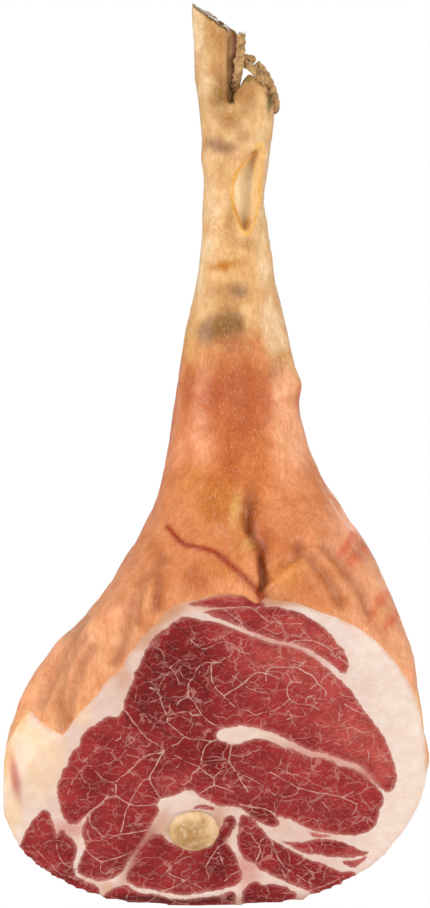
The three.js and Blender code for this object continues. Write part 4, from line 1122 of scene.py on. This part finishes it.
# The slit over the heel tendon, and the gap beside the shank, painted with shade that darkens towards its
# bottom.
SLIT = [
    (33.5, 555), (27, 546), (21, 540), (17, 535), (14, 527), (13, 520), (14, 512), (16, 505),
    (19, 497), (21.5, 491), (24, 491), (27, 497), (29.5, 505), (31, 512), (31.5, 525), (33, 540),
    (35, 550),
]
CREVICE = [
    (8.8, 584), (8.3, 600), (9.2, 616), (10, 632), (12.5, 652), (22, 652), (16.5, 626), (15, 600),
    (14.6, 584),
]
TORN_EDGE = [(21, 606), (17, 597), (14, 590), (12.4, 584), (11.5, 579)]
SLIT_BASE = "dcb784"
SLIT_MARKS = [
    (15.5, 521, 3.6, 22, 0, CREAM, 0.8), (24, 521, 3.6, 26, -3, "d2b48c", 0.9),
    (29.5, 522, 2.6, 24, -4, STRAW, 0.6), (32.5, 548, 3.4, 8, 0, GOLD, 0.8),
    (26.5, 546, 3, 6, 0, TAN, 0.7), (23.5, 496, 4, 6, 0, TAN, 0.9),
]
# The gap's painted shade, dark at its bottom and lighter towards its top, and the sawn end's tint.
GAP_DARK, GAP_LIT, SAWN_TINT = "1d0b02", "7a4a1c", "7a5a30"
SAW_POINT = np.array((-16.8, 27.0, 659.0))
SAW_NORMAL = np.array((0.683, -0.21, 1.0)) / np.linalg.norm((0.683, -0.21, 1.0))


# ---- The ham ----


def welded(node):
    """A CAD node's points in millimetres and its mesh, with doubled points joined."""
    mesh = node.data.copy()
    work = bmesh.new()
    work.from_mesh(mesh)
    bmesh.ops.remove_doubles(work, verts=work.verts, dist=1e-6)
    bmesh.ops.recalc_face_normals(work, faces=work.faces)
    work.to_mesh(mesh)
    work.free()
    return mesh, points_of(mesh)


def hill(points, middle, reach):
    """1 at a middle, falling to 0 over a reach, both given for x, y and z."""
    off = (points - np.array(middle)) / np.array(reach)
    return np.exp(-(off * off).sum(axis=1))


def smoothed(points, edges, share):
    """Points with the flat facets melted away, and no shrinking of the whole."""
    moved = spread(points, edges, share, 60) - points
    return points + moved - spread(moved, edges, 0.5, 160) * (share > 0)[:, None]


leg_mesh, leg_points = welded(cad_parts["cured_leg"])
femur_mesh, femur_points = welded(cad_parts["femur"])
grown_femur = femur_points + 0.7 * normals_of(femur_mesh)
ham = remeshed("ham", [(leg_mesh, leg_points), (femur_mesh, grown_femur)], HAM_VOXEL)
mesh = ham.data
edges = edges_of(mesh)
spots = points_of(mesh)
flat = spots[:, [0, 2]]
depth = (spots - CUT_TOP) @ -CUT_NORMAL
on_face = ease(depth, 1.4, 0.6) * (spots[:, 2] < 240)
in_slit = inside_by(flat, np.array(SLIT))
in_slit[spots[:, 1] > 24] = -50
in_crevice = inside_by(flat, np.array(CREVICE))
in_crevice[spots[:, 1] > 29] = -50
above_saw = (spots - SAW_POINT) @ SAW_NORMAL

# The facets of the CAD leg melt, but not the rim, the slit, the crevice or the sawn end.
keep = ease(depth, 1.5, 9) * ease(in_slit, -1.5, -6) * ease(above_saw, -1.5, -5)
keep *= ease(in_crevice, -0.5, -3) * np.where(spots[:, 2] > 540, 0.3, 1)
spots = smoothed(spots, edges, 0.5 * keep)
spots = spread(spots, edges, 0.5, 5)
spots += RIM_DROP * ease(spots[:, 2], 18, 4)[:, None] * DOWN_THE_CUT
move_points(mesh, spots)
normals = normals_of(mesh)
depth = (spots - CUT_TOP) @ -CUT_NORMAL
flat = spots[:, [0, 2]]
front = ease(normals[:, 1], 0.25, -0.25)

rim_sides = np.array(RIND_EDGE + [(190, -60), (-190, -60)])
by_line = -inside_by(flat, rim_sides)
wrap = 2.2 + 24 * ease(flat[:, 1], 62, 104) * ease(flat[:, 0], -70, -100) * ease(flat[:, 1], 190, 150)
skin_depth = np.maximum(by_line, (depth - wrap) * 1.6)
skin_depth = np.where(spots[:, 2] > 250, 30, skin_depth)

lean_depth = inside_by(flat, curve(BIG_MUSCLES, 2, closed=True))
for outline in SMALL_MUSCLES.values():
    lean_depth = np.maximum(lean_depth, inside_by(flat, curve(outline, 2, closed=True)))
lean_depth = np.where(depth > 6, -30, lean_depth)


def plane_points(places):
    """Places in x and z, on the cut face."""
    y = CUT_TOP[1] + (CUT_TOP[2] - places[:, 1]) * math.tan(CUT_TILT)
    return np.column_stack((places[:, 0], y, places[:, 1]))


def nearest_of(places, lines):
    """For each place: the distance to the nearest line, the point on it, and the line's number."""
    best = np.full(len(places), np.inf)
    foot = np.zeros_like(places)
    which = np.zeros(len(places), int)
    for k, line in enumerate(lines):
        distance, place = nearest(places, curve(line, 3))
        closer = distance < best
        best[closer], foot[closer], which[closer] = distance[closer], place[closer], k
    return best, foot, which


face_index = np.flatnonzero((depth < 6) & (spots[:, 2] < 236))
count = len(spots)
vein_near, crack_near = np.full(count, 50.0), np.full(count, 50.0)
vein_width = np.full(count, 0.5)
vein_place, crack_place = np.zeros((count, 3)), np.zeros((count, 3))
near, foot, which = nearest_of(flat[face_index], [line for _, line in VEINS])
vein_near[face_index] = near
vein_place[face_index] = plane_points(foot)
vein_width[face_index] = np.array([width for width, _ in VEINS])[which]
near, foot, _ = nearest_of(flat[face_index], CRACKS)
crack_near[face_index] = near
crack_place[face_index] = plane_points(foot)

# The skin's relief.
is_skin = ease(skin_depth, -1, 1)
relief = is_skin * ease(depth, 0, 5) * (
    1.3 * lumps(spots, 48, 1) * ease(spots[:, 2], 560, 420)
    + 0.9 * lumps(spots, 19, 2)
    + 1.2 * lumps(spots * (1, 1, 0.35), 13, 9) * ease(spots[:, 2], 330, 240)
    + 0.55 * lumps(spots * (1, 1, 0.45), 9, 3)
    + 0.22 * lumps(spots, 4, 4)
)
crease_near, crease_foot = nearest(flat, curve(CREASE, 3))
pad_near, pad_foot = nearest(flat, curve(PAD_EDGE, 3))
ridge_near, _ = nearest(flat, curve(VEIN_RIDGE, 3))
fold_near, _, _ = nearest_of(flat, FOLDS)
crease_side = ease(flat[:, 0] - crease_foot[:, 0], -1.2, 1.2)
crease_share = front * is_skin * ease(spots[:, 2], 307, 284)
crease_low = crease_share * crease_side * np.exp(-((crease_near / 8) ** 2))
crease_high = crease_share * (1 - crease_side) * np.exp(-(((crease_near - 6) / 7) ** 2))
crease_line = crease_share * np.exp(-((crease_near / 1.6) ** 2))
pad_side = ease(flat[:, 1] - pad_foot[:, 1], -1.2, 1.2)
pad_low = front * is_skin * pad_side * np.exp(-((pad_near / 6) ** 2))
pad_high = front * is_skin * (1 - pad_side) * np.exp(-(((pad_near - 5) / 6) ** 2))
fold_depth = front * np.exp(-((fold_near / 4.5) ** 2)) * is_skin
ridge = front * np.exp(-((ridge_near / 1.7) ** 2)) * is_skin
relief += 3.4 * crease_high - 6.5 * crease_low + 3.2 * pad_high - 4.0 * pad_low - 3.1 * fold_depth
relief += 0.8 * ridge
relief += crease_share * np.exp(-((crease_near / 20) ** 2)) * 1.5 * lumps(spots * (1, 1, 0.6), 8, 31)
relief += front * is_skin * (
    3.0 * hill(spots, (56, -50, 240), (16, 60, 12)) + 2.4 * hill(spots, (6, -50, 284), (13, 60, 24))
)
relief += 2.4 * hill(spots, (64, 24, 381), (8, 18, 8))
relief += 0.7 * front * np.exp(-(((in_slit + 1.6) / 1.5) ** 2)) * (in_slit < 0.5)
relief += (0.4 * lumps(spots, 2.2, 5) + 0.9 * lumps(spots, 5, 22)) * ease(above_saw, -7, -1)
relief += 0.7 * lumps(spots, 7, 23) * ease(in_crevice, -4, 0)
torn_near, _ = nearest(flat, curve(TORN_EDGE, 3))
torn = np.exp(-((torn_near / 1.6) ** 2)) * (spots[:, 1] < 24)
relief += 0.9 * torn

# The cut face's relief: the lean lies a little lower than the fat, and swells between seams.
lean_low = ease(lean_depth, -0.8, 2.2)
cut_relief = -0.45 * lean_low + 0.35 * lumps(spots, 15, 6) + 0.16 * lumps(spots, 5, 7)
cut_relief += 0.22 * np.exp(-((vein_near / 1.2) ** 2)) * lean_low
cut_relief -= 0.45 * np.exp(-((crack_near / 1.0) ** 2))
relief += (1 - is_skin) * on_face * cut_relief

placed = spots + relief[:, None] * normals
ball_off = np.linalg.norm((spots - BALL_CENTRE - BALL_SLIP), axis=1)
under_ball = (ball_off < BALL_RADIUS + 2.2) & (depth < 4)
sunk = 1.6 - (placed - CUT_TOP) @ -CUT_NORMAL
placed[under_ball] -= (sunk[:, None] * CUT_NORMAL)[under_ball]
move_points(mesh, placed)

skin_base = np.array([linear(code) for _, code in SKIN_BY_HEIGHT])
heights = [z for z, _ in SKIN_BY_HEIGHT]
skin_tint = np.column_stack([np.interp(spots[:, 2], heights, skin_base[:, k]) for k in range(3)])
moved = np.column_stack([lumps(spots, 10, seed) + 0.5 * lumps(spots, 4, seed) for seed in (31, 32)])
front_tint = patched(skin_tint, flat + 2.6 * moved, SKIN_MARKS)
front_tint *= 1 - 0.1 * ease(spots[:, 2], 400, 440)[:, None]
for size, seed, share in ((52, 41, (0.05, 0.12, 0.16)), (17, 42, (0.04, 0.09, 0.12))):
    skin_tint *= 1 + lumps(spots, size, seed)[:, None] * np.array(share)
skin_tint += ease(normals[:, 1], 0.35, -0.15)[:, None] * (front_tint - skin_tint)
for weight, code in (
    (0.95 * front * np.exp(-((ridge_near / 2.2) ** 2)), VEIN_RED),
    (0.9 * torn, TORN_TINT),
    (0.9 * np.exp(-(((in_slit + 0.8) / 1.3) ** 4)) * (in_slit > -20), SLIT_LIP),
):
    skin_tint += weight[:, None] * (linear(code) - skin_tint)
# Painted shade in the crease, under the pad's edge and in the folds, uneven along them.
uneven = 0.8 + 0.9 * lumps(spots, 7, 21)
shade = uneven * (0.27 * crease_low + 0.26 * crease_line + 0.26 * pad_low) + 0.36 * fold_depth

fat_tint = patched(np.tile(linear(FAT_BASE), (count, 1)), flat, FAT_MARKS)
lean_tint = LEAN_DEEPER * patched(np.tile(linear(LEAN_BASE), (count, 1)), flat, LEAN_MARKS)
bare_and_gap_shade_tint = patched(np.tile(linear(SLIT_BASE), (count, 1)), flat, SLIT_MARKS)
bare_or_gap_shade = ease(in_slit, 0.1, 0.9)
# The gap beside the shank is painted dark as shade, lighter higher up.
in_gap = ease(in_crevice, -0.4, 0.8) * ease(flat[:, 0], 8.5, 14.5)
bare_or_gap_shade = np.maximum(bare_or_gap_shade, in_gap)
gap_light = ease(spots[:, 2], 585, 632)[:, None]
gap_tint = linear(GAP_DARK) + gap_light * (linear(GAP_LIT) - linear(GAP_DARK))
bare_and_gap_shade_tint = np.where(in_gap[:, None] > 0, gap_tint, bare_and_gap_shade_tint)
sawn = ease(above_saw, -1.4, -0.3)
bare_or_gap_shade = np.maximum(bare_or_gap_shade, sawn)
bare_and_gap_shade_tint = np.where(sawn[:, None] > 0.01, linear(SAWN_TINT), bare_and_gap_shade_tint)

for name, kind, values in (
    ("spot", "FLOAT_VECTOR", spots),
    ("skin_depth", "FLOAT", np.clip(skin_depth, -30, 30)),
    ("lean_depth", "FLOAT", np.clip(lean_depth, -30, 30)),
    ("vein_near", "FLOAT", vein_near),
    ("vein_width", "FLOAT", vein_width),
    ("vein_place", "FLOAT_VECTOR", vein_place),
    ("crack_near", "FLOAT", crack_near),
    ("crack_place", "FLOAT_VECTOR", crack_place),
    ("shade", "FLOAT", shade),
    ("bare_or_gap_shade", "FLOAT", bare_or_gap_shade),
    ("bare_and_gap_shade_tint", "FLOAT_COLOR", bare_and_gap_shade_tint),
    ("skin_tint", "FLOAT_COLOR", skin_tint),
    ("fat_tint", "FLOAT_COLOR", fat_tint),
    ("lean_tint", "FLOAT_COLOR", lean_tint),
):
    add_attribute(mesh, name, kind, values)
mesh.materials.append(meat)
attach(ham, "root")
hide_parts("cured_leg")

# ---- The femur ----

femur = remeshed("femur_bone", [(femur_mesh, femur_points)], BONE_VOXEL)
mesh = femur.data
spots = spread(points_of(mesh), edges_of(mesh), 0.5, 6)
move_points(mesh, spots)
ball_share = ease(np.linalg.norm(spots - BALL_CENTRE, axis=1), 26, 20)[:, None]
inward_by = ((spots - BALL_CENTRE) @ CUT_NORMAL)[:, None]
outward = spots - BALL_CENTRE - inward_by * CUT_NORMAL
spots = spots + ball_share * (0.09 * outward + BALL_SLIP)
relief = 0.45 * lumps(spots, 8, 11) + 0.25 * lumps(spots, 3.2, 12)
move_points(mesh, spots + relief[:, None] * normals_of(mesh))
add_attribute(mesh, "spot", "FLOAT_VECTOR", spots)
bone_base = np.tile(linear(BONE_BASE), (len(spots), 1))
add_attribute(mesh, "bone_tint", "FLOAT_COLOR", patched(bone_base, spots[:, [0, 2]], BONE_MARKS))
mesh.materials.append(bone)
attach(femur, "root")
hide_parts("femur")

# ---- The studio ----

FLOOR_DROP = 110.0
FLOOR_RADIUS = 1200.0
floor_material = Nodes("studio_floor")
floor_tone = floor_material.noise(floor_material.add("ShaderNodeTexCoord", {}, "Object"), 0.4, 2.0)
floor_tone = floor_material.mix(floor_tone, "f2f1ef", "f6f5f3")
floor_material.finish(floor_tone, 0.9)
floor_ring = [
    (FLOOR_RADIUS * math.cos(a), FLOOR_RADIUS * math.sin(a), -FLOOR_DROP)
    for a in np.linspace(0, 2 * math.pi, 96, endpoint=False)
]
floor = new_object("floor", floor_ring, [tuple(range(len(floor_ring)))], floor_material.material)

world = bpy.data.worlds.new("studio")
bpy.context.scene.world = world
world.use_nodes = True
world_nodes = world.node_tree
background = world_nodes.nodes["Background"]
background.inputs["Color"].default_value = (1, 1, 1, 1)
background.inputs["Strength"].default_value = 0.42
backdrop = world_nodes.nodes.new("ShaderNodeBackground")
backdrop.inputs["Color"].default_value = (1, 1, 1, 1)
backdrop.inputs["Strength"].default_value = 1.0
ray = world_nodes.nodes.new("ShaderNodeLightPath")
chosen = world_nodes.nodes.new("ShaderNodeMixShader")
world_nodes.links.new(ray.outputs["Is Camera Ray"], chosen.inputs[0])
world_nodes.links.new(background.outputs[0], chosen.inputs[1])
world_nodes.links.new(backdrop.outputs[0], chosen.inputs[2])
world_nodes.links.new(chosen.outputs[0], world_nodes.nodes["World Output"].inputs["Surface"])
bpy.context.scene.view_settings.view_transform = "Standard"


def soft_light(name, place, target, size, power):
    data = bpy.data.lights.new(name, "AREA")
    data.shape = "DISK"
    data.size = size
    data.energy = power
    light = bpy.data.objects.new(name, data)
    light.location = place
    light.rotation_euler = (Vector(target) - Vector(place)).to_track_quat("-Z", "Y").to_euler()
    bpy.context.scene.collection.objects.link(light)


MIDDLE = (0.0, 0.0, -0.33)
soft_light("left_light", (-2.2, -1.6, 0.5), MIDDLE, 1.5, 41)
soft_light("right_light", (2.3, -1.3, 0.2), MIDDLE, 1.5, 30)
soft_light("front_light", (0.2, -3.0, 1.2), MIDDLE, 1.2, 19)
soft_light("back_light", (0.3, 2.8, 0.9), MIDDLE, 1.8, 26)
